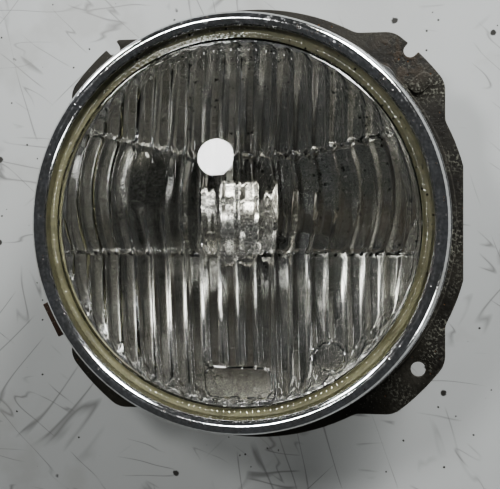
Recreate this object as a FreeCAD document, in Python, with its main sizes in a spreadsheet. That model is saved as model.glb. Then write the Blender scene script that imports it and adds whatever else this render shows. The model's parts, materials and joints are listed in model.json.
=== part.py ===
"""Round fog lamp insert on a pressed steel carrier, as a FreeCAD document.

Frame: millimetres, +Z up, the lens faces -Y. The origin is on the lamp's optical axis, in the
plane of the carrier's rear face, where the carrier is screwed to the bodywork.
Round pieces are drawn as half sections in the XY plane (X is the radius) and turned about Y.
"""

import FreeCAD, Part

import math
import os
import re

import Sketcher

Vector = FreeCAD.Vector
Rotation = FreeCAD.Rotation

# ---------------------------------------------------------------- driving dimensions

SIZES = {
    # carrier plate, a flat pressing with four corner lobes
    "sheet_steel": 1.2,
    "carrier_shift": 1.6,
    "carrier_radius": 81.6,
    "carrier_half_width": 80.4,
    "lobe_radius": 89.2,
    "lobe_side": 72.2,
    "lobe_top": 71.6,
    "lobe_blend": 7.0,
    "lobe_corner": 9.0,
    "step_radius": 78.0,
    "step_depth": 2.0,
    "opening_radius": 62.0,
    "collar_depth": 4.8,
    "notch_right": 47.3,
    "notch_left": 51.0,
    "notch_width": 5.0,
    "notch_seat": 87.6,
    "lower_hole_x": 62.3,
    "lower_hole_z": 54.3,
    "lower_hole_radius": 2.75,
    "rib_angle": 39.5,
    "rib_start": 80.5,
    "rib_end": 83.5,
    "rib_radius": 3.0,
    "rib_height": 0.9,
    # the three adjusting points, in a right angle about the ball pivot
    "aim_offset": 50.0,
    "aim_depth": 14.5,
    "ball_radius": 3.5,
    "neck_radius": 2.0,
    "cup_radius": 5.4,
    "cup_mouth": 1.8,
    "ball_clearance": 0.1,
    "socket_radius": 6.5,
    "socket_cavity": 5.5,
    "socket_mouth": 4.0,
    "socket_tail": 3.2,
    "socket_foot": 4.0,
    "tip_hole": 3.2,
    "tip_hole_end": 23.7,
    "nut_radius": 5.0,
    "thread_radius": 2.4,
    "thread_bore": 2.5,
    "screw_tip": 19.0,
    "bush_hole": 4.5,
    "bush_flange": 5.9,
    "bush_bore": 2.45,
    "knob_radius": 6.0,
    "knob_start": 0.6,
    "knob_length": 7.5,
    "knob_ribs": 12,
    # lamp unit, front to back
    "lens_apex": 43.5,
    "lens_thickness": 4.0,
    "lens_front": 31.5,
    "lens_back": 27.5,
    "lens_radius": 72.0,
    "dome_radius": 65.2,
    "dome_edge": 32.6,
    "gasket_inner": 65.4,
    "flange_radius": 72.5,
    "flange_front": 26.0,
    "flange_back": 25.2,
    "ring_back": 24.0,
    "ring_inner": 65.0,
    "ring_outer": 74.0,
    "rim_inner": 69.9,
    "rim_wall": 75.2,
    "rim_lip": 76.0,
    "rim_sheet": 0.9,
    "rim_back": 23.2,
    "rim_bead": 2.7,
    # reflector, a paraboloid of revolution
    "focal_length": 21.5,
    "vertex": 21.6,
    "bowl_shift": 1.3,
    "neck_inner": 12.0,
    "neck_flange": 19.0,
    "neck_back": 24.3,
    "neck_sheet": 0.8,
    # bulb seat and single-filament bulb
    "seat_radius": 21.0,
    "seat_back": 25.3,
    "seat_hole": 6.1,
    "rivet_circle": 16.0,
    "rivet_radius": 1.5,
    "rivet_head": 2.6,
    "barrel_radius": 6.0,
    "base_flange": 8.0,
    "base_back": 26.9,
    "glass_radius": 4.5,
    "glass_wall": 0.8,
    "glass_tip": 17.0,
    "spade_width": 6.3,
    "spade_sheet": 0.8,
    # bulb clip, sprung wire
    "wire_radius": 0.6,
    "clip_plane": 27.55,
    "clip_hinge": 15.5,
    "clip_half_width": 7.0,
    "clip_foot": 15.0,
    "clip_end": 10.4,
    "clip_bend": 1.6,
    # glare shield in front of the bulb
    "shield_radius": 15.8,
    "shield_sheet": 0.7,
    "shield_front": 28.0,
    "shield_back": 10.0,
    # rim fastening
    "clamp_angle": 207.0,
    "clamp_width": 13.5,
    "clamp_reach": 80.2,
    "clamp_sheet": 1.5,
    "clamp_screw_circle": 71.5,
    "clip_width": 10.0,
}

doc = FreeCAD.newDocument("fog_lamp")
sheet = doc.addObject("Spreadsheet::Sheet", "Sizes")
workings = doc.addObject("Spreadsheet::Sheet", "Workings")
for row, (alias, number) in enumerate(SIZES.items(), start=1):
    sheet.set(f"A{row}", alias)
    sheet.set(f"B{row}", str(number))
    sheet.setAlias(f"B{row}", alias)
doc.recompute()

ALIAS = re.compile(r"\b(" + "|".join(SIZES) + r")\b")
nodes = []


# ---------------------------------------------------------------- helpers


def bound(expression):
    """The expression with each alias written as a cell of the sheet."""
    return ALIAS.sub(r"Sizes.\1", expression)


def value(expression):
    """The number that an expression of the sheet's aliases has, worked out in a second sheet."""
    workings.set("A1", "=" + bound(expression))
    workings.recompute()
    return float(workings.get("A1"))


def bind(feature, **properties):
    """Binds number properties of a feature to expressions of the sheet."""
    for name, expression in properties.items():
        feature.setExpression(name, bound(expression))


def node(feature, label):
    """Registers a finished object as a named piece of the lamp."""
    feature.Label = label
    nodes.append(feature)
    return feature


def move(feature, x="0", y="0", z="0"):
    """Places a feature by expressions of the sheet."""
    for letter, expression in (("x", x), ("y", y), ("z", z)):
        feature.setExpression(f".Placement.Base.{letter}", bound(expression))


def origin_plane(body, role):
    """One of a body's own origin planes."""
    return [o for o in body.Origin.OriginFeatures if o.Role == role][0]


def arc_between(start, end, radius):
    """The minor arc from start to end. A positive radius bulges to the right of the way."""
    chord = end - start
    half = chord.Length / 2
    side = Vector(-chord.y, chord.x, 0).normalize() * math.sqrt(max(radius**2 - half**2, 0))
    centre = (start + end) / 2 + (side if radius > 0 else -side)
    circle = Part.Circle(centre, Vector(0, 0, 1), abs(radius))
    first, last = (start, end) if radius > 0 else (end, start)
    return Part.ArcOfCircle(circle, circle.parameter(first), circle.parameter(last))


def pin(sketch, geometry, end, axis, expression):
    """Fixes one coordinate of a sketch point to an expression, or to the other axis if it is 0."""
    if expression == "0":
        other = -2 if axis == "DistanceX" else -1
        sketch.addConstraint(Sketcher.Constraint("PointOnObject", geometry, end, other))
        return
    number = value(expression)
    made = sketch.addConstraint(Sketcher.Constraint(axis, -1, 1, geometry, end, number))
    sketch.setExpression(f"Constraints[{made}]", bound(expression))


def loop(sketch, corners, closed=True):
    """A closed or open outline. Each corner is (x, y) or (x, y, radius), where the radius turns
    the stretch to the next corner into an arc; all are expressions of the sheet."""
    points = [Vector(value(c[0]), value(c[1]), 0) for c in corners]
    stretches = corners if closed else corners[:-1]
    ends = []
    for i, corner in enumerate(stretches):
        here, there = points[i], points[(i + 1) % len(points)]
        if len(corner) == 3:
            radius = value(corner[2])
            made = sketch.addGeometry(arc_between(here, there, radius))
            length = corner[2].lstrip("-")
            k = sketch.addConstraint(Sketcher.Constraint("Radius", made, abs(radius)))
            sketch.setExpression(f"Constraints[{k}]", bound(length))
            ends.append((made, 1, 2) if radius > 0 else (made, 2, 1))
        else:
            ends.append((sketch.addGeometry(Part.LineSegment(here, there)), 1, 2))
    for i, (geometry, first, last) in enumerate(ends):
        if closed or i + 1 < len(ends):
            following = ends[(i + 1) % len(ends)]
            join = Sketcher.Constraint("Coincident", geometry, last, following[0], following[1])
            sketch.addConstraint(join)
        pin(sketch, geometry, first, "DistanceX", corners[i][0])
        pin(sketch, geometry, first, "DistanceY", corners[i][1])
    if not closed:
        geometry, _, last = ends[-1]
        pin(sketch, geometry, last, "DistanceX", corners[-1][0])
        pin(sketch, geometry, last, "DistanceY", corners[-1][1])


def ring_of(sketch, x, y, radius):
    """A circle whose centre and radius are expressions."""
    centre = Vector(value(x), value(y), 0)
    made = sketch.addGeometry(Part.Circle(centre, Vector(0, 0, 1), value(radius)))
    k = sketch.addConstraint(Sketcher.Constraint("Radius", made, value(radius)))
    sketch.setExpression(f"Constraints[{k}]", bound(radius))
    pin(sketch, made, 3, "DistanceX", x)
    pin(sketch, made, 3, "DistanceY", y)


def sketch_on(body, role, name, loops=(), circles=()):
    """A sketch on one of the body's origin planes, with outlines and circles."""
    sketch = body.newObject("Sketcher::SketchObject", name)
    sketch.AttachmentSupport = [(origin_plane(body, role), "")]
    sketch.MapMode = "FlatFace"
    for corners in loops:
        loop(sketch, corners)
    for circle in circles:
        ring_of(sketch, *circle)
    return sketch


def body_named(label):
    """A new PartDesign body that is a piece of the lamp."""
    return node(doc.addObject("PartDesign::Body", label + "_body"), label)


def turn(body, corners, name="Section"):
    """Turns a half section about the body's own Y axis."""
    sketch = sketch_on(body, "XY_Plane", name, [corners])
    feature = body.newObject("PartDesign::Revolution", "Turned" + name)
    feature.Profile = sketch
    feature.ReferenceAxis = (sketch, ["V_Axis"])
    feature.Angle = 360
    doc.recompute()
    return feature


def turned(label, corners, x="0", z="0"):
    """A piece turned about an axis along Y through (x, z)."""
    body = body_named(label)
    turn(body, corners)
    move(body, x, "0", z)
    return body


def pad(body, sketch, length, backward=False):
    """Pads a sketch of the XZ plane forward, to -Y, or backward, to +Y."""
    feature = body.newObject("PartDesign::Pad", "Pad")
    feature.Profile = sketch
    bind(feature, Length=length)
    feature.Reversed = backward
    doc.recompute()
    return feature


def pocket(body, sketch, length=None):
    """Cuts a sketch of the XZ plane forward into the body, to a depth or right through."""
    before = body.Shape.Volume
    feature = body.newObject("PartDesign::Pocket", "Pocket")
    feature.Profile = sketch
    feature.Reversed = True
    if length is None:
        feature.Type = "ThroughAll"
        feature.Midplane = True
    else:
        bind(feature, Length=length)
    doc.recompute()
    if body.Shape.Volume >= before - 1e-3:
        raise RuntimeError(f"{body.Label}: {feature.Name} cuts nothing")
    return feature


def box(name, corner, size, turn_about_y=0.0):
    """A Part box from a corner and a size of expressions, turned about the Y axis."""
    feature = doc.addObject("Part::Box", name)
    bind(feature, Length=size[0], Width=size[1], Height=size[2])
    rotation = Rotation(Vector(0, 1, 0), turn_about_y)
    offset = rotation.multVec(Vector(*(value(c) for c in corner)))
    feature.Placement = FreeCAD.Placement(offset, rotation)
    return feature


def cylinder(name, radius, length, x="0", y="0", z="0"):
    """A Part cylinder along +Y from (x, y, z)."""
    feature = doc.addObject("Part::Cylinder", name)
    bind(feature, Radius=radius, Height=length)
    along_y = Rotation(Vector(1, 0, 0), -90)
    at = Vector(value(x), value(y), value(z))
    feature.Placement = FreeCAD.Placement(at, along_y)
    move(feature, x, y, z)
    return feature


def fused(name, *features):
    """One solid of several that touch or overlap."""
    feature = doc.addObject("Part::MultiFuse", name)
    feature.Shapes = list(features)
    feature.Refine = True
    return feature


def cut(name, base, tool):
    """Base less tool."""
    feature = doc.addObject("Part::Cut", name)
    feature.Base, feature.Tool = base, tool
    return feature


def grouped(label, features):
    """Identical separate solids in one node."""
    feature = doc.addObject("Part::Compound", label + "_group")
    feature.Links = list(features)
    return node(feature, label)


def at_angle(radius, degrees):
    """A point of the XZ plane, as a pair of expressions, at an angle from +X towards +Z."""
    return (f"({radius}) * cos({degrees})", f"({radius}) * sin({degrees})")


def degrees(expression):
    """An angle expression that FreeCAD's cos and sin read in degrees."""
    return f"({expression}) * 1 deg"


# ---------------------------------------------------------------- carrier


def vertical_edges(shape, keep):
    """Names of the shape's straight edges along Y whose place passes a test."""
    found = []
    for i, edge in enumerate(shape.Edges, start=1):
        ends = edge.Vertexes
        if len(ends) != 2 or not isinstance(edge.Curve, Part.Line):
            continue
        a, b = ends[0].Point, ends[1].Point
        if abs(a.x - b.x) + abs(a.z - b.z) < 1e-6 and keep(a.x, a.z):
            found.append(f"Edge{i}")
    return found


def fillet(body, base, names, radius):
    """Rounds named edges of the body's last feature."""
    feature = body.newObject("PartDesign::Fillet", "Fillet")
    feature.Base = (base, names)
    bind(feature, Radius=radius)
    doc.recompute()
    return feature


def lobe_outline():
    """The four lobes as one outline: straight sides joined by arcs of lobe_radius."""
    top = "sqrt(lobe_radius ^ 2 - lobe_top ^ 2)"
    side = "sqrt(lobe_radius ^ 2 - lobe_side ^ 2)"
    return [
        ("carrier_shift + lobe_side", "-" + side),
        ("carrier_shift + lobe_side", side, "lobe_radius"),
        ("carrier_shift + " + top, "lobe_top"),
        ("carrier_shift - " + top, "lobe_top", "lobe_radius"),
        ("carrier_shift - lobe_side", side),
        ("carrier_shift - lobe_side", "-" + side, "lobe_radius"),
        ("carrier_shift - " + top, "-lobe_top"),
        ("carrier_shift + " + top, "-lobe_top", "lobe_radius"),
    ]


def polar(along, across, angle, side="+"):
    """A point of the XZ plane given along and across a ray from the carrier's centre at an
    angle. side "-" mirrors it to the left."""
    turn_by = f"({angle}) * 1 deg"
    x = f"(({along}) * cos({turn_by}) - ({across}) * sin({turn_by}))"
    z = f"(({along}) * sin({turn_by}) + ({across}) * cos({turn_by}))"
    return (f"carrier_shift {side} {x}", z)


def notch_outline(angle, side):
    """An open slot for a screw, pointing outwards at an angle."""
    half, outer = "notch_width / 2", "lobe_radius + notch_width"
    radius = "notch_width / 2" if side == "+" else "-(notch_width / 2)"
    return [
        (*polar("notch_seat", half, angle, side), radius),
        (*polar(f"notch_seat - {half}", "0", angle, side), radius),
        polar("notch_seat", f"-{half}", angle, side),
        polar(outer, f"-{half} - 0.5", angle, side),
        polar(outer, f"{half} + 0.5", angle, side),
    ]


def rib_outline(radius):
    """A radial stadium, for the stiffening rib beside the right notch."""
    return [
        polar("rib_end", f"-({radius})", "rib_angle"),
        (*polar("rib_start", f"-({radius})", "rib_angle"), f"-({radius})"),
        (*polar(f"rib_start - ({radius})", "0", "rib_angle"), f"-({radius})"),
        polar("rib_start", radius, "rib_angle"),
        (*polar("rib_end", radius, "rib_angle"), f"-({radius})"),
        (*polar(f"rib_end + ({radius})", "0", "rib_angle"), f"-({radius})"),
    ]


def front_pocket(body, name, circles, depth, below):
    """Cuts a ring between two circles from the front face down to a level."""
    sketch = sketch_on(body, "XZ_Plane", name, circles=circles)
    sketch.setExpression(".AttachmentOffset.Base.z", bound(below))
    before = body.Shape.Volume
    feature = body.newObject("PartDesign::Pocket", "Pocket")
    feature.Profile = sketch
    feature.Reversed = True
    bind(feature, Length=depth)
    doc.recompute()
    if body.Shape.Volume >= before - 1e-3:
        raise RuntimeError(f"{body.Label}: {feature.Name} cuts nothing")


def make_carrier():
    """The pressed plate: lobes, raised ring with a collared opening, notches, holes and a rib."""
    body = body_named("carrier_plate")
    thick = "step_depth + sheet_steel"
    disc = sketch_on(body, "XZ_Plane", "Disc", circles=[("carrier_shift", "0", "carrier_radius")])
    pad(body, disc, thick)
    lobes = sketch_on(body, "XZ_Plane", "Lobes", [lobe_outline()])
    pad(body, lobes, thick)
    sides = []
    for sign in ("", "-"):
        inner, outer = sign + "carrier_half_width", sign + "(carrier_radius + 2)"
        height = "lobe_top / 2"
        sides.append([(inner, "-" + height), (outer, "-" + height), (outer, height), (inner, height)])
    flats = pocket(body, sketch_on(body, "XZ_Plane", "Flats", sides))

    def inward(x, z):
        reach = math.hypot(x - value("carrier_shift"), z)
        return reach < value("carrier_radius") + 1 and abs(z) > value("lobe_top") / 3

    blend = vertical_edges(flats.Shape, inward)
    last = fillet(body, flats, blend, "lobe_blend")

    def rounded(x, z):
        reach = math.hypot(x - value("carrier_shift"), z)
        return reach > value("lobe_radius") - 0.5 and not (x < 0 and z > value("lobe_top") - 1)

    fillet(body, last, vertical_edges(last.Shape, rounded), "lobe_corner")
    outside = [("0", "0", "step_radius"), ("0", "0", "lobe_radius + 10")]
    front_pocket(body, "Flange", outside, "step_depth + 1", "sheet_steel")
    hollow = [("0", "0", "step_radius - sheet_steel")]
    pocket(body, sketch_on(body, "XZ_Plane", "Hollow", circles=hollow), "step_depth")
    collar = [("0", "0", "opening_radius + sheet_steel")]
    pad(body, sketch_on(body, "XZ_Plane", "Collar", circles=collar), thick + " + collar_depth")
    opening = [("0", "0", "opening_radius")]
    pocket(body, sketch_on(body, "XZ_Plane", "Opening", circles=opening))
    collar_foot = [("0", "0", "opening_radius + sheet_steel"), ("0", "0", "opening_radius - 1")]
    pocket(body, sketch_on(body, "XZ_Plane", "CollarFoot", circles=collar_foot), "step_depth")
    rib = sketch_on(body, "XZ_Plane", "Rib", [rib_outline("rib_radius")])
    pad(body, rib, "sheet_steel + rib_height")
    groove = sketch_on(body, "XZ_Plane", "RibHollow", [rib_outline("rib_radius - sheet_steel")])
    pocket(body, groove, "rib_height")
    holes = [("-aim_offset", "aim_offset", "ball_radius - 1")]
    holes += [(side + "aim_offset", side + "aim_offset", "bush_hole") for side in ("", "-")]
    for side in ("+", "-"):
        holes.append((f"carrier_shift {side} lower_hole_x", "-lower_hole_z", "lower_hole_radius"))
    pocket(body, sketch_on(body, "XZ_Plane", "Holes", circles=holes))
    notches = [notch_outline("notch_right", "+"), notch_outline("notch_left", "-")]
    pocket(body, sketch_on(body, "XZ_Plane", "Notches", notches))


# ---------------------------------------------------------------- aiming gear


def make_pivot():
    """The ball stud riveted to the carrier and the nylon cup that snaps over its ball."""
    floor = "-step_depth"
    face = "-(step_depth + sheet_steel)"
    ball_top = "-aim_depth + sqrt(ball_radius ^ 2 - neck_radius ^ 2)"
    shank = "ball_radius - 1"
    turned(
        "pivot_stud",
        [
            ("0", "-0.8"),
            ("4.5", "-0.8"),
            ("4.5", floor),
            (shank, floor),
            (shank, face),
            ("4.5", face),
            ("4.5", face + " - 1.4"),
            ("neck_radius", face + " - 1.4"),
            ("neck_radius", ball_top, "-ball_radius"),
            ("0", "-aim_depth - ball_radius"),
        ],
        "-aim_offset",
        "aim_offset",
    )
    inner = "(ball_radius + ball_clearance)"
    mouth = "-aim_depth + cup_mouth"
    turned(
        "pivot_cup",
        [
            (f"sqrt({inner} ^ 2 - cup_mouth ^ 2)", mouth, "-" + inner),
            ("0", f"-aim_depth - {inner}"),
            ("0", "-aim_depth - cup_radius", "cup_radius"),
            ("sqrt(cup_radius ^ 2 - cup_mouth ^ 2)", mouth),
        ],
        "-aim_offset",
        "aim_offset",
    )


def make_socket(label, x, z, bored):
    """A moulded socket whose tail snaps into the support ring. A bored one clears a screw's tip."""
    mouth = "sqrt(socket_cavity ^ 2 - socket_mouth ^ 2)"
    corners = [
        ("0", "-flange_back"),
        ("socket_tail", "-flange_back"),
        ("socket_tail", "-ring_back"),
        ("socket_foot", "-ring_back"),
        ("socket_foot", "-ring_back + 1.2"),
        ("socket_radius", "-ring_back + 1.2"),
        ("socket_radius", "-aim_depth + socket_mouth"),
        (mouth, "-aim_depth + socket_mouth", "-socket_cavity"),
    ]
    if bored:
        floor = "-aim_depth - sqrt(socket_cavity ^ 2 - tip_hole ^ 2)"
        corners += [("tip_hole", floor), ("tip_hole", "-tip_hole_end"), ("0", "-tip_hole_end")]
    else:
        corners += [("0", "-aim_depth - socket_cavity")]
    turned(label, corners, x, z)


def make_adjuster(axis, x, z):
    """One adjuster: bush in the carrier, captive screw with knob and E-clip, and ball nut."""
    face = "-(step_depth + sheet_steel)"
    turned(
        f"{axis}_bush",
        [
            ("bush_bore", face + " - 1"),
            ("bush_flange", face + " - 1"),
            ("bush_flange", face),
            ("bush_hole", face),
            ("bush_hole", "-step_depth"),
            ("bush_flange", "-step_depth"),
            ("bush_flange", "-step_depth + 1.4"),
            ("bush_bore", "-step_depth + 1.4"),
        ],
        x,
        z,
    )
    groove = face + " - 1.1"
    turned(
        f"{axis}_screw",
        [
            ("0", "-screw_tip"),
            ("thread_radius - 0.6", "-screw_tip"),
            ("thread_radius", "-screw_tip + 0.6"),
            ("thread_radius", groove + " - 0.8"),
            ("thread_radius - 0.6", groove + " - 0.8"),
            ("thread_radius - 0.6", groove),
            ("thread_radius", groove),
            ("thread_radius", "knob_start"),
            ("thread_radius + 0.8", "knob_start"),
            ("thread_radius + 0.8", "knob_start + knob_length - 1.5"),
            ("0", "knob_start + knob_length - 1.5"),
        ],
        x,
        z,
    )
    turned(
        f"{axis}_e_clip",
        [
            ("thread_radius - 0.6", groove + " - 0.8"),
            ("4.4", groove + " - 0.8"),
            ("4.4", groove),
            ("thread_radius - 0.6", groove),
        ],
        x,
        z,
    )
    make_knob(axis, x, z)
    bore_end = "sqrt(nut_radius ^ 2 - thread_bore ^ 2)"
    turned(
        f"{axis}_nut",
        [
            ("thread_bore", f"-aim_depth - {bore_end}", "nut_radius"),
            ("thread_bore", f"-aim_depth + {bore_end}"),
        ],
        x,
        z,
    )


def make_knob(axis, x, z):
    """The knob pressed on the screw's head: a cap with finger flutes and a driver slot."""
    body = body_named(f"{axis}_knob")
    end = "knob_start + knob_length"
    turn(
        body,
        [
            ("thread_radius + 0.8", "knob_start"),
            ("knob_radius", "knob_start"),
            ("knob_radius", end + " - 0.8"),
            ("knob_radius - 0.8", end),
            ("0", end),
            ("0", end + " - 1.5"),
            ("thread_radius + 0.8", end + " - 1.5"),
        ],
    )
    flute = sketch_on(body, "XZ_Plane", "Flute", circles=[("knob_radius + 0.5", "0", "1.2")])
    first = body.newObject("PartDesign::Pocket", "FlutePocket")
    first.Profile = flute
    first.Type = "ThroughAll"
    first.Midplane = True
    doc.recompute()
    pattern = body.newObject("PartDesign::PolarPattern", "Flutes")
    pattern.Originals = [first]
    pattern.Axis = (flute, ["N_Axis"])
    pattern.Angle = 360
    pattern.Occurrences = int(value("knob_ribs"))
    body.Tip = pattern
    doc.recompute()
    slot = sketch_on(
        body,
        "XY_Plane",
        "Slot",
        [[("-0.6", end + " - 1"), ("0.6", end + " - 1"), ("0.6", end + " + 1"), ("-0.6", end + " + 1")]],
    )
    driver = body.newObject("PartDesign::Pocket", "DriverSlot")
    driver.Profile = slot
    driver.Midplane = True
    bind(driver, Length="knob_radius + 2")
    doc.recompute()
    move(body, x, "0", z)


# ---------------------------------------------------------------- front of the lamp


def make_front():
    """Lens, gasket, chromed rim and the support ring that it clamps them to."""
    dome = "((dome_radius ^ 2 + (lens_apex - dome_edge) ^ 2) / (2 * (lens_apex - dome_edge)))"
    inner_apex, inner_edge = "(lens_apex - lens_thickness)", "(lens_back + 0.9)"
    rise = f"({inner_apex} - {inner_edge})"
    hollow = f"(((dome_radius - 0.6) ^ 2 + {rise} ^ 2) / (2 * {rise}))"
    turned(
        "lens",
        [
            ("0", "-lens_apex", dome),
            ("dome_radius", "-dome_edge"),
            ("dome_radius + 0.7", "-lens_front"),
            ("lens_radius", "-lens_front"),
            ("lens_radius", "-lens_back"),
            ("gasket_inner", "-lens_back"),
            ("dome_radius - 0.6", f"-{inner_edge}", "-" + hollow),
            ("0", f"-{inner_apex}"),
        ],
    )
    turned(
        "lens_gasket",
        [
            ("gasket_inner", "-lens_back"),
            ("flange_radius", "-lens_back"),
            ("flange_radius", "-flange_front"),
            ("gasket_inner", "-flange_front"),
        ],
    )
    bead_centre = "(rim_wall - rim_bead)"
    inner_bead = "(rim_bead - rim_sheet)"
    crown = "-(lens_front + 0.1)"
    turned(
        "rim",
        [
            ("rim_inner", crown + " - 0.6", "rim_bead"),
            ("rim_wall", crown),
            ("rim_wall", "-ring_back - 1.2"),
            ("rim_lip", "-ring_back - 0.4"),
            ("rim_lip", "-rim_back"),
            ("rim_wall", "-rim_back"),
            ("rim_wall - rim_sheet", "-ring_back - 0.9"),
            ("rim_wall - rim_sheet", crown, "-" + inner_bead),
            (f"{bead_centre} - {inner_bead} + 0.1", "-lens_front"),
            ("rim_inner", "-lens_front"),
        ],
    )
    ring = body_named("support_ring")
    turn(
        ring,
        [
            ("ring_inner", "-flange_back"),
            ("ring_outer", "-flange_back"),
            ("ring_outer", "-ring_back"),
            ("ring_inner", "-ring_back"),
        ],
    )
    holes = [
        ("-aim_offset", "aim_offset", "socket_tail"),
        ("-aim_offset", "-aim_offset", "socket_tail"),
        ("aim_offset", "aim_offset", "socket_tail"),
        (*at_angle("clamp_screw_circle", degrees("clamp_angle")), "2"),
    ]
    pocket(ring, sketch_on(ring, "XZ_Plane", "Holes", circles=holes))


def make_rim_fastening():
    """Two spring clips and one screwed clamp that hold the rim's rear lip to the ring."""
    clips = []
    for number, angle in enumerate((87.0, 327.0), start=1):
        half = "-clip_width / 2"
        lip_size = ("rim_lip - 70.2", "0.6", "clip_width")
        lip = box(f"ClipLip{number}", ("70", "-rim_back", half), lip_size, -angle)
        foot_size = ("0.8", "1.4", "clip_width")
        foot = box(f"ClipFoot{number}", ("69.4", "-ring_back", half), foot_size, -angle)
        clips.append(fused(f"RimClip{number}", lip, foot))
    grouped("rim_clips", clips)
    angle = -value("clamp_angle")
    half = "-clamp_width / 2"
    reach = "clamp_reach - 66.6"
    tongue = box("ClampTongue", ("66.6", "-rim_back", half), (reach, "clamp_sheet", "clamp_width"), angle)
    foot = box("ClampFoot", ("66.6", "-ring_back", half), ("1.5", "1.5", "clamp_width"), angle)
    ear = box("ClampEar", ("74", "-rim_back", half), ("clamp_reach - 74", "7", "clamp_sheet"), angle)
    x, z = at_angle("clamp_screw_circle", degrees("clamp_angle"))
    hole = cylinder("ClampHole", "2.1", "10", x, "-ring_back - 4", z)
    node(cut("Clamp", fused("ClampBlank", tongue, foot, ear), hole), "rim_clamp")
    head = "-rim_back + clamp_sheet"
    turned(
        "clamp_screw",
        [
            ("0", "-flange_back"),
            ("1.5", "-flange_back"),
            ("2", "-flange_back + 0.5"),
            ("2", head),
            ("3.6", head),
            ("3.6", head + " + 1.4", "3.2"),
            ("1.2", head + " + 2.4"),
            ("1.2", head + " + 1.2"),
            ("0", head + " + 1.2"),
        ],
        x,
        z,
    )


# ---------------------------------------------------------------- reflector and bulb


def make_reflector():
    """The aluminised bowl: a paraboloid with a front flange and a rear neck, one pressing.

    The bowl's walls are two parabola arcs, the outer one shifted back along the axis."""
    focal, vertex = value("focal_length"), value("vertex")
    back_vertex = vertex + value("bowl_shift")

    def point(radius, top):
        return Vector(radius, top - radius**2 / (4 * focal), 0)

    def parabola(top, first, last):
        curve = Part.BSplineCurve()
        count = 24
        curve.interpolate([point(first + (last - first) * i / count, top) for i in range(count + 1)])
        return curve.toShape()

    front, back = -value("flange_front"), -value("flange_back")
    mouth = math.sqrt(4 * focal * (vertex - front))
    outer_mouth = math.sqrt(4 * focal * (back_vertex - back))
    neck, wall = value("neck_inner"), value("neck_inner") + value("neck_sheet")
    neck_back = value("neck_back")
    flange_front = neck_back - value("neck_sheet")
    outline = [
        point(mouth, vertex),
        Vector(value("flange_radius"), front, 0),
        Vector(value("flange_radius"), back, 0),
        point(outer_mouth, back_vertex),
    ]
    throat = [
        point(wall, back_vertex),
        Vector(wall, flange_front, 0),
        Vector(value("neck_flange"), flange_front, 0),
        Vector(value("neck_flange"), neck_back, 0),
        Vector(neck, neck_back, 0),
        point(neck, vertex),
    ]
    edges = [parabola(vertex, neck, mouth)]
    edges += Part.makePolygon(outline).Edges
    edges += [parabola(back_vertex, outer_mouth, wall)]
    edges += Part.makePolygon(throat).Edges
    face = Part.Face(Part.Wire(edges))
    bowl = face.revolve(Vector(0, 0, 0), Vector(0, 1, 0), 360)
    for x, z in rivet_places():
        hole = Part.makeCylinder(value("rivet_radius"), 4, Vector(x, flange_front - 1, z), Vector(0, 1, 0))
        bowl = bowl.cut(hole)
    feature = doc.addObject("Part::Feature", "Bowl")
    feature.Shape = bowl
    node(feature, "reflector")


def rivet_places():
    """The three rivets of the bulb seat, in the XZ plane."""
    circle = value("rivet_circle")
    return [(circle * math.cos(math.radians(a)), circle * math.sin(math.radians(a))) for a in (30, 150, 270)]


def make_bulb_seat():
    """The riveted seat plate with the wire clip's hinge ears and hooks, and its rivets."""
    thickness = "seat_back - neck_back"
    disc = cylinder("SeatDisc", "seat_radius", thickness, y="neck_back")
    parts = [disc]
    for side in (1, -1):
        ear_x = "8.8" if side > 0 else "-9.8"
        parts.append(box(f"Ear{side + 1}", (ear_x, "seat_back", "clip_hinge - 1.9"), ("1", "4.2", "3.8")))
        post_x = "9.8" if side > 0 else "-10.6"
        parts.append(box(f"Post{side + 1}", (post_x, "seat_back", "-13.5"), ("0.8", "3.8", "3")))
        lip_x = "7.8" if side > 0 else "-10.6"
        parts.append(box(f"Lip{side + 1}", (lip_x, "seat_back + 3", "-13.5"), ("2.8", "0.8", "3")))
    blank = fused("SeatBlank", *parts)
    tools = [cylinder("SeatBore", "seat_hole", "6", y="neck_back - 2")]
    for number, (x, z) in enumerate(rivet_places()):
        centre = (str(x), "neck_back - 1", str(z))
        tools.append(cylinder(f"SeatRivetHole{number}", "rivet_radius", "4", *centre))
    pin_hole = doc.addObject("Part::Cylinder", "HingeHole")
    bind(pin_hole, Radius="wire_radius + 0.1", Height="24")
    pin_hole.Placement = FreeCAD.Placement(Vector(-12, 0, 0), Rotation(Vector(0, 1, 0), 90))
    move(pin_hole, "-12", "clip_plane", "clip_hinge")
    tools.append(pin_hole)
    node(cut("Seat", blank, fused("SeatTools", *tools)), "bulb_seat")
    rivets = []
    front = "neck_back - neck_sheet"
    grip = "seat_back - neck_back + neck_sheet"
    for number, place in enumerate(rivet_places()):
        x, z = (str(c) for c in place)
        shank = cylinder(f"Shank{number}", "rivet_radius", grip, x, front, z)
        tail = cylinder(f"Tail{number}", "rivet_head", "0.9", x, "seat_back", z)
        head = cylinder(f"Head{number}", "rivet_head - 0.5", "0.7", x, front + " - 0.7", z)
        rivets.append(fused(f"Rivet{number}", shank, tail, head))
    grouped("seat_rivets", rivets)
    foot = box("EarthFoot", ("12.4", "seat_back", "-11.6"), ("4.2", "0.8", "spade_width"))
    blade_size = ("spade_sheet", "14", "spade_width")
    blade = box("EarthBlade", ("16.6 - spade_sheet", "seat_back", "-11.6"), blade_size)
    node(fused("Earth", foot, blade), "earth_terminal")


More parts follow.
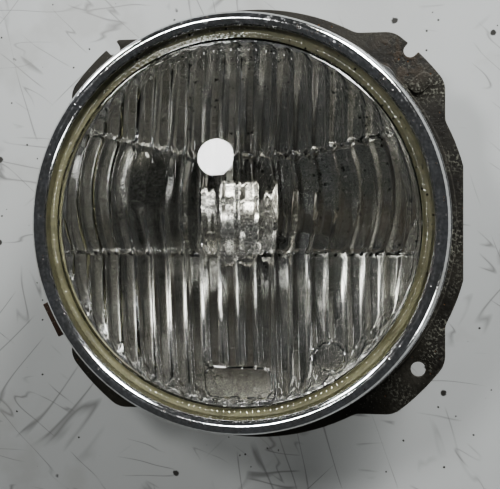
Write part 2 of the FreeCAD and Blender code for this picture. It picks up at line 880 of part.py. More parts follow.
def make_bulb():
    """A single-filament halogen bulb with a round locating flange and a spade terminal."""
    turned(
        "bulb_base",
        [
            ("0", "15.5"),
            ("glass_radius + 0.05", "15.5"),
            ("glass_radius + 0.05", "13"),
            ("barrel_radius", "13"),
            ("barrel_radius", "seat_back"),
            ("base_flange", "seat_back"),
            ("base_flange", "base_back"),
            ("5.6", "base_back"),
            ("5.6", "34"),
            ("0", "34"),
        ],
    )
    turned("bulb_insulator", [("0", "34"), ("4.6", "34"), ("4.6", "36"), ("4.1", "36.5"), ("0", "36.5")])
    spade_size = ("spade_width", "9", "spade_sheet")
    spade = box("Spade", ("-spade_width / 2", "36.5", "-spade_sheet / 2"), spade_size)
    eye = doc.addObject("Part::Cylinder", "SpadeEye")
    bind(eye, Radius="0.9", Height="4")
    eye.Placement = FreeCAD.Placement(Vector(0, 42.5, -2), Rotation())
    node(cut("Terminal", spade, eye), "bulb_terminal")
    inner = "(glass_radius - glass_wall)"
    shoulder = "-(glass_tip - glass_radius)"
    turned(
        "bulb_glass",
        [
            (inner, "15.5"),
            (inner, shoulder, "-" + inner),
            ("0", f"{shoulder} - {inner}"),
            ("0", "-glass_tip", "glass_radius"),
            ("glass_radius", shoulder),
            ("glass_radius", "15.5"),
        ],
    )
    turned("bulb_stem", [("0", "12"), (inner + " - 0.05", "12"), (inner + " - 0.05", "15.5"), ("0", "15.5")])
    turned("filament", [("0", "-2.2"), ("0.6", "-2.2"), ("0.6", "2.4"), ("0", "2.4")])
    posts = []
    for number, (x, end) in enumerate(((1.6, -2.6), (-1.6, 2.8))):
        rod = cylinder(f"PostRod{number}", "0.4", str(12 - end), str(x), str(end), "0")
        arm = doc.addObject("Part::Cylinder", f"PostArm{number}")
        bind(arm, Radius="0.4", Height="2")
        start = Vector(-0.4 if x > 0 else x, end, 0)
        arm.Placement = FreeCAD.Placement(start, Rotation(Vector(0, 1, 0), 90))
        posts.append(fused(f"Post{number}Wire", rod, arm))
    grouped("filament_posts", posts)


def make_bulb_clip():
    """The sprung wire that holds the bulb's flange: two legs, a foot and turned-out hinge ends."""
    body = body_named("bulb_clip")
    wide, bend = "clip_half_width", "clip_bend"
    outer, inner = f"({wide} + {bend})", f"({wide} - {bend})"
    upper, lower = f"clip_hinge - {bend}", f"-clip_foot + {bend}"
    path = [
        ("clip_end", "clip_hinge"),
        (outer, "clip_hinge", bend),
        (wide, upper),
        (wide, lower, "-" + bend),
        (inner, "-clip_foot"),
        ("-" + inner, "-clip_foot", "-" + bend),
        ("-" + wide, lower),
        ("-" + wide, upper, bend),
        ("-" + outer, "clip_hinge"),
        ("-clip_end", "clip_hinge"),
    ]
    spine = sketch_on(body, "XZ_Plane", "Spine")
    loop(spine, path, closed=False)
    section = sketch_on(body, "YZ_Plane", "Wire", circles=[("0", "clip_hinge", "wire_radius")])
    section.setExpression(".AttachmentOffset.Base.z", bound("clip_end"))
    doc.recompute()
    pipe = body.newObject("PartDesign::AdditivePipe", "Sweep")
    pipe.Profile = section
    pipe.Spine = spine
    doc.recompute()
    move(body, "0", "clip_plane", "0")


def make_glare_shield():
    """The stepped cup in front of the bulb, and the three-legged stand that carries it."""
    inner = "shield_radius - shield_sheet"
    turned(
        "glare_shield",
        [
            ("shield_radius", "-shield_back"),
            (inner, "-shield_back"),
            (inner, "-shield_front + 6"),
            (f"{inner} - 1.6", "-shield_front + 4.4 + 0.3"),
            ("9.3", "-shield_front + 4.4 + 0.3"),
            ("8.6", "-shield_front + 3.9", "-14"),
            ("0", "-shield_front + shield_sheet"),
            ("0", "-shield_front", "14"),
            ("9.4", "-shield_front + 3.4"),
            ("10", "-shield_front + 4"),
            ("shield_radius - 2", "-shield_front + 4", "2"),
            ("shield_radius", "-shield_front + 6"),
        ],
    )
    body = body_named("shield_stand")
    foot = "(neck_back - neck_sheet)"
    turn(body, [("7.6", foot), ("11.8", foot), ("11.8", "neck_back"), ("7.6", "neck_back")])
    top = "-shield_back - 3"
    outline = [
        ("10.4", "neck_back"),
        ("10.4", foot),
        (f"{inner} - 1.02", top),
        (f"{inner} - 0.22", top),
        ("11.2", foot),
        ("11.2", "neck_back"),
    ]
    leg = sketch_on(body, "XY_Plane", "Leg", [outline])
    strap = body.newObject("PartDesign::Pad", "Strap")
    strap.Profile = leg
    strap.Midplane = True
    strap.Length = 5
    doc.recompute()
    pattern = body.newObject("PartDesign::PolarPattern", "Straps")
    pattern.Originals = [strap]
    pattern.Axis = (leg, ["V_Axis"])
    pattern.Angle = 360
    pattern.Occurrences = 3
    body.Tip = pattern
    doc.recompute()


# ---------------------------------------------------------------- build and write


def check():
    """Stops if any object failed or any piece has no valid shape."""
    for feature in doc.Objects:
        if {"Invalid", "Error"} & set(feature.State):
            raise RuntimeError(f"{feature.Label} failed: {feature.State}")
    for feature in nodes:
        shape = feature.Shape
        if shape.isNull() or not shape.isValid() or not shape.Solids:
            raise RuntimeError(f"{feature.Label} has no valid solid")


def write():
    """Writes each piece to parts/LABEL.step."""
    os.makedirs("parts", exist_ok=True)
    for old in os.listdir("parts"):
        os.remove(os.path.join("parts", old))
    for feature in nodes:
        feature.Shape.exportStep(f"parts/{feature.Label}.step")
        print(f"{feature.Label}: {feature.Shape.Volume:.0f} mm3, {len(feature.Shape.Solids)} solid")


make_carrier()
make_pivot()
make_socket("pivot_socket", "-aim_offset", "aim_offset", bored=False)
make_socket("pitch_socket", "-aim_offset", "-aim_offset", bored=True)
make_socket("yaw_socket", "aim_offset", "aim_offset", bored=True)
make_adjuster("pitch", "-aim_offset", "-aim_offset")
make_adjuster("yaw", "aim_offset", "aim_offset")
make_front()
make_rim_fastening()
make_reflector()
make_bulb_seat()
make_bulb()
make_bulb_clip()
make_glare_shield()
doc.recompute()
check()
write()
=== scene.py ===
"""Round auxiliary lamp in its pressed carrier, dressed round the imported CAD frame.

The lamp looks along -Y with +Z up. Meshes are made in millimetres and scaled to metres
when they are delivered, so every size below is in millimetres unless it says otherwise.
"""

from __future__ import annotations

import json
import logging
import math
from collections.abc import Callable, Iterable, Sequence
from dataclasses import dataclass, field
from enum import Enum
from typing import Any

import bmesh
import bpy
from mathutils import Matrix, Vector

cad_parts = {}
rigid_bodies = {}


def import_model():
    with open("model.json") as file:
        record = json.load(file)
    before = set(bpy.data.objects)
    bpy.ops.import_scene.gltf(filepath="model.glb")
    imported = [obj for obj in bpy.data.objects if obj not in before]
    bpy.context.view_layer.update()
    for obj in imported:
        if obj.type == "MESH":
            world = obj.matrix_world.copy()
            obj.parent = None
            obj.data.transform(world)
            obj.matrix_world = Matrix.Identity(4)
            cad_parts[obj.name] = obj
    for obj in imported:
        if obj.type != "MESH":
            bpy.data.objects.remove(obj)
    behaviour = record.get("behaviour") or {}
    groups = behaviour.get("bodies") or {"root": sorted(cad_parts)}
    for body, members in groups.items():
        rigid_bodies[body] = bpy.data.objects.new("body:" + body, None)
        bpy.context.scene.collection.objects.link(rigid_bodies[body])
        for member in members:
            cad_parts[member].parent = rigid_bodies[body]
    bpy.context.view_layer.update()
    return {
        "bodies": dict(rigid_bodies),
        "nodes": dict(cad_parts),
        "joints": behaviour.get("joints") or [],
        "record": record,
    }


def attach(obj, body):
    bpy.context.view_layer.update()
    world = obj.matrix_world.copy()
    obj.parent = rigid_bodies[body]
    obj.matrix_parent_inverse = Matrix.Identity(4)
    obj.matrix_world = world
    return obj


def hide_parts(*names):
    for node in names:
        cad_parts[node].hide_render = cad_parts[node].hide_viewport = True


LOG = logging.getLogger("lamp")
MM = 0.001
Point = tuple[float, float]
Colour = tuple[float, float, float]


class Slot(Enum):
    """The record's material slots."""

    CARRIER = "carrier_steel"
    ZINC = "zinc_steel"
    RUST = "rusty_steel"
    WHITE_NYLON = "white_nylon"
    BLACK_NYLON = "black_nylon"
    SPRING = "spring_steel"
    LENS = "lens_glass"
    GASKET = "olive_rubber"
    CHROME = "rim_chrome"
    MIRROR = "bright_aluminising"
    SHIELD = "shield_metal"
    BULB = "bulb_glass"
    NICKEL = "nickel"
    INSULATOR = "insulator"
    BRASS = "spade_brass"
    TUNGSTEN = "tungsten"


# ---------------------------------------------------------------- node trees


class Tree:
    """Writes one node tree: adds nodes, sets their sockets and links them."""

    def __init__(self, tree: bpy.types.NodeTree) -> None:
        """Takes the tree to write and empties it.

        Args:
            tree: a material's or a group's node tree.
        """
        self.tree = tree
        tree.nodes.clear()

    def feed(self, socket: bpy.types.NodeSocket, value: Any) -> None:
        """Links a socket to another one, or sets its value.

        Args:
            socket: the input to feed.
            value: an output socket, or a plain value.
        """
        if isinstance(value, bpy.types.NodeSocket):
            self.tree.links.new(value, socket)
        elif isinstance(value, tuple) and len(value) == 3 and len(socket.default_value) == 4:
            socket.default_value = (*value, 1.0)
        else:
            socket.default_value = value

    def add(self, kind: str, inputs: dict[Any, Any] | None = None, **settings: Any) -> bpy.types.Node:
        """Adds a node.

        Args:
            kind: the node's class without its "ShaderNode" prefix.
            inputs: values or links by input name or number.
            **settings: the node's own properties.

        Returns:
            The node.
        """
        node = self.tree.nodes.new("ShaderNode" + kind)
        for key, value in settings.items():
            setattr(node, key, value)
        for key, value in (inputs or {}).items():
            self.feed(node.inputs[key], value)
        return node

    def math(self, operation: str, *values: Any) -> bpy.types.NodeSocket:
        """Adds a Math node on the values and returns its output."""
        return self.add("Math", dict(enumerate(values)), operation=operation).outputs[0]

    def remap(self, value: Any, low: float, high: float, to: Point = (0.0, 1.0)) -> bpy.types.NodeSocket:
        """Maps a value from one range to another, clamped.

        Args:
            value: the socket to map.
            low: the value that gives the first end of the new range.
            high: the value that gives its other end.
            to: the new range.

        Returns:
            The mapped value.
        """
        inputs = {"Value": value, "From Min": low, "From Max": high, "To Min": to[0], "To Max": to[1]}
        return self.add("MapRange", inputs).outputs["Result"]

    def blend(self, factor: Any, first: Any, second: Any) -> bpy.types.NodeSocket:
        """Mixes two colours by a factor and returns the result."""
        return self.add("Mix", {0: factor, 6: first, 7: second}, data_type="RGBA").outputs[2]

    def group(self, group: bpy.types.NodeTree, **inputs: Any) -> bpy.types.NodeSocket:
        """Places a shared effect with its values.

        Args:
            group: the effect's node group.
            **inputs: values or links by input name.

        Returns:
            Its first output.
        """
        node = self.add("Group", node_tree=group)
        for key, value in inputs.items():
            self.feed(node.inputs[key], value)
        return node.outputs[0]


class Effects:
    """The shared effects, each a node group that puts out one mask and is built once."""

    def __init__(self) -> None:
        """Builds the groups."""
        grain = {"Scale": 300.0, "Detail": 4.0, "Low": 0.4, "High": 0.6}
        self.grain = self.make("grain", grain, self.write_grain)
        self.specks = self.make("specks", {"Scale": 400.0, "Size": 0.2, "Share": 0.2}, self.write_specks)
        self.wear = self.make("edge_wear", {"Radius": 0.0006, "Scale": 250.0, "Amount": 1.0}, self.write_wear)
        scratches = {"Scale": 60.0, "Width": 0.02, "Turn": 0.5}
        self.scratches = self.make("scratches", scratches, self.write_scratches)

    @staticmethod
    def make(name: str, inputs: dict[str, float], write: Callable[..., Any]) -> bpy.types.NodeTree:
        """Makes one group.

        Args:
            name: the group's name.
            inputs: its inputs and their usual values.
            write: adds the nodes between its inputs and its mask.

        Returns:
            The group.
        """
        group = bpy.data.node_groups.new(name, "ShaderNodeTree")
        tree = Tree(group)
        for label, value in inputs.items():
            socket = group.interface.new_socket(label, in_out="INPUT", socket_type="NodeSocketFloat")
            socket.default_value = value
        group.interface.new_socket("Mask", in_out="OUTPUT", socket_type="NodeSocketFloat")
        taken = group.nodes.new("NodeGroupInput").outputs
        place = tree.add("TexCoord").outputs["Object"]
        mask = write(tree, taken, place)
        tree.feed(group.nodes.new("NodeGroupOutput").inputs["Mask"], mask)
        return group

    @staticmethod
    def write_grain(tree: Tree, taken: Any, place: Any) -> bpy.types.NodeSocket:
        """Fractal noise cut between two levels.

        Args:
            tree: the group's tree.
            taken: the group's inputs.
            place: where the shaded point is.

        Returns:
            The mask.
        """
        noise = tree.add("TexNoise", {"Vector": place, "Scale": taken["Scale"], "Detail": taken["Detail"]})
        inputs = {"Value": noise.outputs[0], "From Min": taken["Low"], "From Max": taken["High"]}
        return tree.add("MapRange", inputs).outputs["Result"]

    @staticmethod
    def write_specks(tree: Tree, taken: Any, place: Any) -> bpy.types.NodeSocket:
        """Ragged dots, in only a share of the cells.

        Args:
            tree: the group's tree.
            taken: the group's inputs.
            place: where the shaded point is.

        Returns:
            The mask.
        """
        shake = tree.add("TexNoise", {"Vector": place, "Scale": tree.math("MULTIPLY", taken["Scale"], 3.0)})
        cells = tree.add("TexVoronoi", {"Vector": place, "Scale": taken["Scale"]})
        draw = tree.add("SeparateColor", {0: cells.outputs["Color"]})
        chosen = tree.math("LESS_THAN", draw.outputs[0], taken["Share"])
        reach = tree.math("MULTIPLY", taken["Size"], tree.math("ADD", draw.outputs[1], 0.4))
        away = tree.math("SUBTRACT", cells.outputs["Distance"], 0.125)
        ragged = tree.math("MULTIPLY_ADD", shake.outputs[0], 0.25, away)
        inside = tree.math("SUBTRACT", 1.0, tree.math("DIVIDE", ragged, reach))
        edge = tree.math("MULTIPLY", inside, 3.0)
        edge.node.use_clamp = True
        return tree.math("MULTIPLY", edge, chosen)

    @staticmethod
    def write_wear(tree: Tree, taken: Any, place: Any) -> bpy.types.NodeSocket:
        """Edges, found by how far a bevelled normal turns from the true one, broken by noise.

        Args:
            tree: the group's tree.
            taken: the group's inputs.
            place: where the shaded point is.

        Returns:
            The mask.
        """
        bevel = tree.add("Bevel", {"Radius": taken["Radius"]}, samples=4)
        normal = tree.add("NewGeometry").outputs["Normal"]
        turn = tree.add("VectorMath", {0: bevel.outputs[0], 1: normal}, operation="DOT_PRODUCT")
        edge = tree.remap(turn.outputs["Value"], 0.995, 0.85)
        noise = tree.add("TexNoise", {"Vector": place, "Scale": taken["Scale"], "Detail": 3.0})
        broken = tree.math("MULTIPLY", edge, tree.remap(noise.outputs[0], 0.38, 0.56))
        return tree.math("MULTIPLY", broken, taken["Amount"])

    @staticmethod
    def write_scratches(tree: Tree, taken: Any, place: Any) -> bpy.types.NodeSocket:
        """Thin bent lines, from where a stretched noise crosses its middle value.

        Args:
            tree: the group's tree.
            taken: the group's inputs.
            place: where the shaded point is.

        Returns:
            The mask.
        """
        turned = tree.add("VectorRotate", {"Vector": place, "Angle": taken["Turn"]}, rotation_type="Y_AXIS")
        long = tree.add("VectorMath", {0: turned.outputs[0], 1: (1.0, 1.0, 0.18)}, operation="MULTIPLY")
        noise = tree.add("TexNoise", {"Vector": long.outputs[0], "Scale": taken["Scale"], "Detail": 1.5})
        away = tree.math("ABSOLUTE", tree.math("SUBTRACT", noise.outputs[0], 0.5))
        line = tree.math("SUBTRACT", 1.0, tree.math("DIVIDE", away, taken["Width"]))
        line.node.use_clamp = True
        gate = tree.add("TexNoise", {"Vector": place, "Scale": tree.math("MULTIPLY", taken["Scale"], 0.4)})
        return tree.math("MULTIPLY", line, tree.remap(gate.outputs[0], 0.52, 0.6))


# ---------------------------------------------------------------- finishes


@dataclass(frozen=True)
class Specks:
    """Dots of another colour: dirt, pits, rust or bloom. The scale is in cells per metre."""

    colour: Colour
    scale: float = 500.0
    size: float = 0.22
    share: float = 0.2
    roughness: float = 0.8


@dataclass(frozen=True)
class Finish:
    """A solid surface: a colour with stains, specks and worn edges, and its own grain."""

    colour: Colour
    stain: Colour
    roughness: Point
    metallic: float = 0.0
    stain_scale: float = 90.0
    stain_level: Point = (0.45, 0.65)
    grain_scale: float = 900.0
    bump: float = 0.15
    specks: tuple[Specks, ...] = ()
    wear: Colour | None = None
    wear_amount: float = 0.8
    specular: float = 0.5

    def build(self, name: str, effects: Effects) -> bpy.types.Material:
        """Makes the material.

        Args:
            name: the material's name.
            effects: the shared node groups.

        Returns:
            The material.
        """
        material = bpy.data.materials.new(name)
        material.use_nodes = True
        tree = Tree(material.node_tree)
        low, high = self.stain_level
        stained = tree.group(effects.grain, Scale=self.stain_scale, Detail=5.0, Low=low, High=high)
        fine = tree.group(effects.grain, Scale=self.grain_scale, Detail=3.0, Low=0.3, High=0.7)
        colour = tree.blend(stained, self.colour, self.stain)
        colour = self.shade(tree, fine, colour)
        rough = tree.remap(fine, 0.0, 1.0, self.roughness)
        height = tree.math("MULTIPLY", fine, 0.4)
        height = tree.math("ADD", height, tree.math("MULTIPLY", stained, 0.3))
        colour, rough, height = self.local(tree, effects, colour, rough, height)
        for specks in self.specks:
            mask = tree.group(effects.specks, Scale=specks.scale, Size=specks.size, Share=specks.share)
            colour = tree.blend(mask, colour, specks.colour)
            rough = tree.math("ADD", rough, tree.math("MULTIPLY", mask, specks.roughness - self.roughness[0]))
            height = tree.math("SUBTRACT", height, tree.math("MULTIPLY", mask, 0.8))
        if self.wear:
            mask = tree.group(effects.wear, Amount=self.wear_amount)
            colour = tree.blend(mask, colour, self.wear)
        bump = tree.add("Bump", {"Strength": self.bump, "Distance": 0.0003, "Height": height})
        inputs = {"Base Color": colour, "Roughness": rough, "Metallic": self.metallic}
        surface = tree.add("BsdfPrincipled", {**inputs, "Normal": bump.outputs[0]})
        tree.feed(surface.inputs["Specular IOR Level"], self.specular)
        tree.add("OutputMaterial", {"Surface": surface.outputs[0]})
        return material

    @staticmethod
    def shade(tree: Tree, fine: Any, colour: Any) -> bpy.types.NodeSocket:
        """Darkens the colour a little where the fine grain is low."""
        dark = tree.add("HueSaturation", {"Value": 0.72, "Color": colour}).outputs[0]
        return tree.blend(fine, dark, colour)

    def local(self, tree: Tree, effects: Effects, colour: Any, rough: Any, height: Any) -> tuple[Any, Any, Any]:
        """Adds what one finish has in one place only; a plain finish adds nothing."""
        return colour, rough, height


@dataclass(frozen=True)
class CarrierFinish(Finish):
    """Old dark coating on pressed steel, with white bloom on one side and rust by the notch."""

    bloom: Colour = (0.15, 0.15, 0.125)
    rust: Colour = (0.040, 0.030, 0.020)
    notch: tuple[float, float, float] = (0.0585, 0.0, 0.0625)

    def local(self, tree: Tree, effects: Effects, colour: Any, rough: Any, height: Any) -> tuple[Any, Any, Any]:
        """Adds the bloom towards +X and the rust round the open notch.

        Args:
            tree: the material's tree.
            effects: the shared node groups.
            colour: the colour so far.
            rough: the roughness so far.
            height: the bump height so far.

        Returns:
            The colour, roughness and height with both added.
        """
        place = tree.add("TexCoord").outputs["Object"]
        across = tree.add("SeparateXYZ", {0: place})
        side = tree.remap(across.outputs[0], 0.035, 0.072)
        crust = tree.group(effects.grain, Scale=900.0, Detail=9.0, Low=0.5, High=0.62)
        patch = tree.group(effects.grain, Scale=75.0, Detail=4.0, Low=0.44, High=0.62)
        bloomed = tree.math("MULTIPLY", tree.math("MULTIPLY", side, crust), patch)
        colour = tree.blend(bloomed, colour, self.bloom)
        away = tree.add("VectorMath", {0: place, 1: self.notch}, operation="DISTANCE").outputs["Value"]
        near = tree.remap(away, 0.014, 0.004)
        flakes = tree.group(effects.grain, Scale=260.0, Detail=6.0, Low=0.44, High=0.58)
        rusted = tree.math("MULTIPLY", near, flakes)
        colour = tree.blend(rusted, colour, self.rust)
        rough = tree.math("ADD", rough, tree.math("MULTIPLY", bloomed, 0.3))
        height = tree.math("ADD", height, tree.math("MULTIPLY", bloomed, 1.2))
        return colour, rough, tree.math("ADD", height, rusted)


@dataclass(frozen=True)
class ChromeFinish(Finish):
    """Bright plate, pitted and rust-spotted most along its top."""

    pit: Colour = (0.05, 0.035, 0.025)

    def local(self, tree: Tree, effects: Effects, colour: Any, rough: Any, height: Any) -> tuple[Any, Any, Any]:
        """Adds the pits, thick at the top and thin elsewhere.

        Args:
            tree: the material's tree.
            effects: the shared node groups.
            colour: the colour so far.
            rough: the roughness so far.
            height: the bump height so far.

        Returns:
            The colour, roughness and height with the pits.
        """
        place = tree.add("SeparateXYZ", {0: tree.add("TexCoord").outputs["Object"]})
        top = tree.remap(place.outputs[2], 0.03, 0.072)
        patch = tree.group(effects.grain, Scale=70.0, Detail=3.0, Low=0.42, High=0.56)
        share = tree.math("MULTIPLY_ADD", tree.math("MULTIPLY", top, patch), 0.32, 0.05)
        pits = tree.group(effects.specks, Scale=1150.0, Size=0.36, Share=share)
        bloom = tree.group(effects.grain, Scale=600.0, Detail=6.0, Low=0.55, High=0.7)
        bloom = tree.math("MULTIPLY", bloom, tree.math("MULTIPLY_ADD", top, 0.5, 0.1))
        colour = tree.blend(pits, colour, self.pit)
        rough = tree.math("ADD", rough, tree.math("MULTIPLY_ADD", bloom, 0.3, tree.math("MULTIPLY", pits, 0.5)))
        return colour, rough, tree.math("SUBTRACT", height, tree.math("MULTIPLY", pits, 1.5))


@dataclass(frozen=True)
class MirrorFinish(Finish):
    """Dulled aluminising: cloudy in patches, with drip marks."""

    cloud: Colour = (0.46, 0.46, 0.43)

    def local(self, tree: Tree, effects: Effects, colour: Any, rough: Any, height: Any) -> tuple[Any, Any, Any]:
        """Adds the clouding and the drip marks.

        Args:
            tree: the material's tree.
            effects: the shared node groups.
            colour: the colour so far.
            rough: the roughness so far.
            height: the bump height so far.

        Returns:
            The colour, roughness and height with both added.
        """
        cloud = tree.group(effects.grain, Scale=38.0, Detail=6.0, Low=0.42, High=0.68)
        drips = tree.group(effects.scratches, Scale=45.0, Width=0.05, Turn=0.1)
        marked = tree.math("MAXIMUM", cloud, drips)
        colour = tree.blend(marked, colour, self.cloud)
        return colour, tree.math("MULTIPLY_ADD", marked, 0.12, rough), height


@dataclass(frozen=True)
class GlassFinish:
    """Clear glass with a film of grime, dirt specks and fine scratches. Lamps shine through it."""

    tint: Colour = (0.955, 0.96, 0.955)
    film: Colour = (0.74, 0.74, 0.69)
    dirt: tuple[Specks, ...] = ()
    roughness: Point = (0.01, 0.06)
    ior: float = 1.5

    def build(self, name: str, effects: Effects) -> bpy.types.Material:
        """Makes the material.

        Args:
            name: the material's name.
            effects: the shared node groups.

        Returns:
            The material.
        """
        material = bpy.data.materials.new(name)
        material.use_nodes = True
        tree = Tree(material.node_tree)
        film = tree.group(effects.grain, Scale=60.0, Detail=7.0, Low=0.5, High=0.75)
        colour = tree.blend(film, self.tint, self.film)
        rough = tree.remap(film, 0.0, 1.0, self.roughness)
        for specks in self.dirt:
            mask = tree.group(effects.specks, Scale=specks.scale, Size=specks.size, Share=specks.share)
            mask = tree.math("MULTIPLY", mask, self.dirty(tree))
            colour = tree.blend(mask, colour, specks.colour)
        scratches = tree.group(effects.scratches, Scale=130.0, Width=0.008, Turn=0.7)
        height = tree.math("SUBTRACT", tree.math("MULTIPLY", film, 0.2), scratches)
        bump = tree.add("Bump", {"Strength": 0.05, "Distance": 0.0001, "Height": height})
        surface = tree.add("BsdfPrincipled", {"Base Color": colour, "Roughness": rough, "IOR": self.ior})
        tree.feed(surface.inputs["Transmission Weight"], 1.0)
        tree.feed(surface.inputs["Normal"], bump.outputs[0])
        clear = tree.add("BsdfTransparent", {"Color": (0.9, 0.9, 0.88)})
        shadow = tree.add("LightPath").outputs["Is Shadow Ray"]
        mix = tree.add("MixShader", {0: shadow, 1: surface.outputs[0], 2: clear.outputs[0]})
        tree.add("OutputMaterial", {"Surface": mix.outputs[0]})
        return material

    @staticmethod
    def dirty(tree: Tree) -> bpy.types.NodeSocket:
        """How much dirt there is: most towards the upper right.

        Args:
            tree: the material's tree.

        Returns:
            The share of the dirt that shows.
        """
        place = tree.add("SeparateXYZ", {0: tree.add("TexCoord").outputs["Object"]})
        slope = tree.math("ADD", tree.math("MULTIPLY", place.outputs[0], 0.7), place.outputs[2])
        return tree.remap(slope, -0.02, 0.045, (0.25, 1.0))


@dataclass(frozen=True)
class TableFinish:
    """Pale painted board with faint scratches and dark crumbs; seen from behind it is clear."""

    colour: Colour = (0.47, 0.485, 0.48)
    worn: Colour = (0.40, 0.41, 0.40)

    def build(self, name: str, effects: Effects) -> bpy.types.Material:
        """Makes the material.

        Args:
            name: the material's name.
            effects: the shared node groups.

        Returns:
            The material.
        """
        material = bpy.data.materials.new(name)
        material.use_nodes = True
        tree = Tree(material.node_tree)
        patch = tree.group(effects.grain, Scale=9.0, Detail=6.0, Low=0.35, High=0.7)
        colour = tree.blend(patch, self.colour, self.worn)
        for turn, scale in ((0.3, 60.0), (1.5, 75.0), (2.4, 50.0), (0.9, 90.0)):
            lines = tree.group(effects.scratches, Scale=scale, Width=0.012, Turn=turn)
            colour = tree.blend(tree.math("MULTIPLY", lines, 0.7), colour, (0.15, 0.15, 0.145))
        scuffs = tree.group(effects.grain, Scale=34.0, Detail=8.0, Low=0.56, High=0.66)
        colour = tree.blend(tree.math("MULTIPLY", scuffs, 0.35), colour, (0.33, 0.33, 0.31))
        for scale, size, share in ((60.0, 0.11, 0.16), (150.0, 0.16, 0.07), (420.0, 0.24, 0.04)):
            crumbs = tree.group(effects.specks, Scale=scale, Size=size, Share=share)
            colour = tree.blend(crumbs, colour, (0.035, 0.034, 0.03))
        rough = tree.remap(patch, 0.0, 1.0, (0.42, 0.62))
        surface = tree.add("BsdfPrincipled", {"Base Color": colour, "Roughness": rough})
        clear = tree.add("BsdfTransparent")
        behind = tree.add("NewGeometry").outputs["Backfacing"]
        mix = tree.add("MixShader", {0: behind, 1: surface.outputs[0], 2: clear.outputs[0]})
        tree.add("OutputMaterial", {"Surface": mix.outputs[0]})
        return material


BLACK_DIRT = Specks((0.01, 0.009, 0.008), scale=520.0, size=0.27, share=0.17)
FINE_DIRT = Specks((0.03, 0.028, 0.02), scale=900.0, size=0.22, share=0.12)
PALE_DUST = Specks((0.17, 0.165, 0.14), scale=1500.0, size=0.28, share=0.14)
RUST_DOTS = Specks((0.085, 0.045, 0.022), scale=600.0, size=0.3, share=0.12)

FINISHES: dict[Slot, Any] = {
    Slot.CARRIER: CarrierFinish(
        (0.026, 0.024, 0.018), (0.012, 0.0105, 0.008), (0.50, 0.75), stain_scale=45.0, bump=0.8, specular=0.3,
        specks=(PALE_DUST, RUST_DOTS), wear=(0.24, 0.225, 0.19), wear_amount=0.7, grain_scale=700.0,
    ),
    Slot.ZINC: Finish(
        (0.50, 0.50, 0.46), (0.32, 0.31, 0.26), (0.28, 0.5), metallic=1.0, specks=(RUST_DOTS, PALE_DUST),
        wear=(0.62, 0.62, 0.60), bump=0.3,
    ),
    Slot.RUST: Finish(
        (0.050, 0.030, 0.020), (0.022, 0.017, 0.014), (0.6, 0.9), stain_scale=160.0, bump=0.9, specular=0.3,
        specks=(RUST_DOTS, PALE_DUST), wear=(0.17, 0.13, 0.10),
    ),
    Slot.WHITE_NYLON: Finish(
        (0.62, 0.60, 0.51), (0.47, 0.42, 0.32), (0.36, 0.5), specks=(FINE_DIRT,), stain_scale=120.0,
    ),
    Slot.BLACK_NYLON: Finish(
        (0.025, 0.025, 0.026), (0.045, 0.043, 0.040), (0.36, 0.55), specks=(PALE_DUST,), bump=0.25,
        wear=(0.10, 0.10, 0.095), wear_amount=0.6,
    ),
    Slot.SPRING: Finish(
        (0.36, 0.35, 0.33), (0.20, 0.17, 0.14), (0.28, 0.45), metallic=1.0, specks=(RUST_DOTS,),
    ),
    Slot.LENS: GlassFinish(dirt=(BLACK_DIRT, FINE_DIRT)),
    Slot.GASKET: Finish(
        (0.105, 0.100, 0.054), (0.070, 0.066, 0.034), (0.5, 0.75), specks=(FINE_DIRT,), stain_scale=200.0,
        bump=0.4,
    ),
    Slot.CHROME: ChromeFinish(
        (0.80, 0.81, 0.82), (0.66, 0.66, 0.64), (0.05, 0.14), metallic=1.0, stain_scale=60.0, bump=0.12,
    ),
    Slot.MIRROR: MirrorFinish(
        (0.82, 0.82, 0.81), (0.68, 0.68, 0.66), (0.06, 0.14), metallic=1.0, bump=0.05, specks=(FINE_DIRT,),
    ),
    Slot.SHIELD: Finish(
        (0.74, 0.73, 0.69), (0.50, 0.48, 0.42), (0.14, 0.3), metallic=1.0, specks=(FINE_DIRT,), bump=0.1,
    ),
    Slot.BULB: GlassFinish(tint=(0.96, 0.97, 0.97), film=(0.8, 0.79, 0.75), roughness=(0.0, 0.03), ior=1.46),
    Slot.NICKEL: Finish(
        (0.62, 0.60, 0.55), (0.42, 0.39, 0.33), (0.18, 0.34), metallic=1.0, specks=(RUST_DOTS,),
    ),
    Slot.INSULATOR: Finish((0.72, 0.68, 0.56), (0.55, 0.50, 0.38), (0.35, 0.5), specks=(FINE_DIRT,)),
    Slot.BRASS: Finish(
        (0.60, 0.44, 0.20), (0.34, 0.22, 0.10), (0.25, 0.42), metallic=1.0, specks=(FINE_DIRT,),
        wear=(0.75, 0.60, 0.32),
    ),
    Slot.TUNGSTEN: Finish((0.30, 0.29, 0.28), (0.20, 0.19, 0.18), (0.3, 0.45), metallic=1.0),
}


# ---------------------------------------------------------------- shapes


def arc(start: Point, end: Point, radius: float, count: int = 12) -> list[Point]:
    """Points on an arc, its start left out.

    Args:
        start: where the arc begins, as radius and depth.
        end: where it ends.
        radius: its radius; a positive one bulges to the right of the travel.
        count: how many points it gets.

    Returns:
        The points, the end included.
    """
    first, last = Vector(start), Vector(end)
    half = (last - first) / 2
    reach = math.sqrt(max(radius**2 - half.length_squared, 0.0))
    left = Vector((-half.y, half.x)).normalized()
    centre = first + half + left * math.copysign(reach, radius)
    begin = math.atan2(first.y - centre.y, first.x - centre.x)
    finish = math.atan2(last.y - centre.y, last.x - centre.x)
    sweep = (finish - begin + math.pi) % (2 * math.pi) - math.pi
    size = abs(radius)
    turns = [begin + sweep * i / count for i in range(1, count + 1)]
    return [(centre.x + size * math.cos(a), centre.y + size * math.sin(a)) for a in turns]


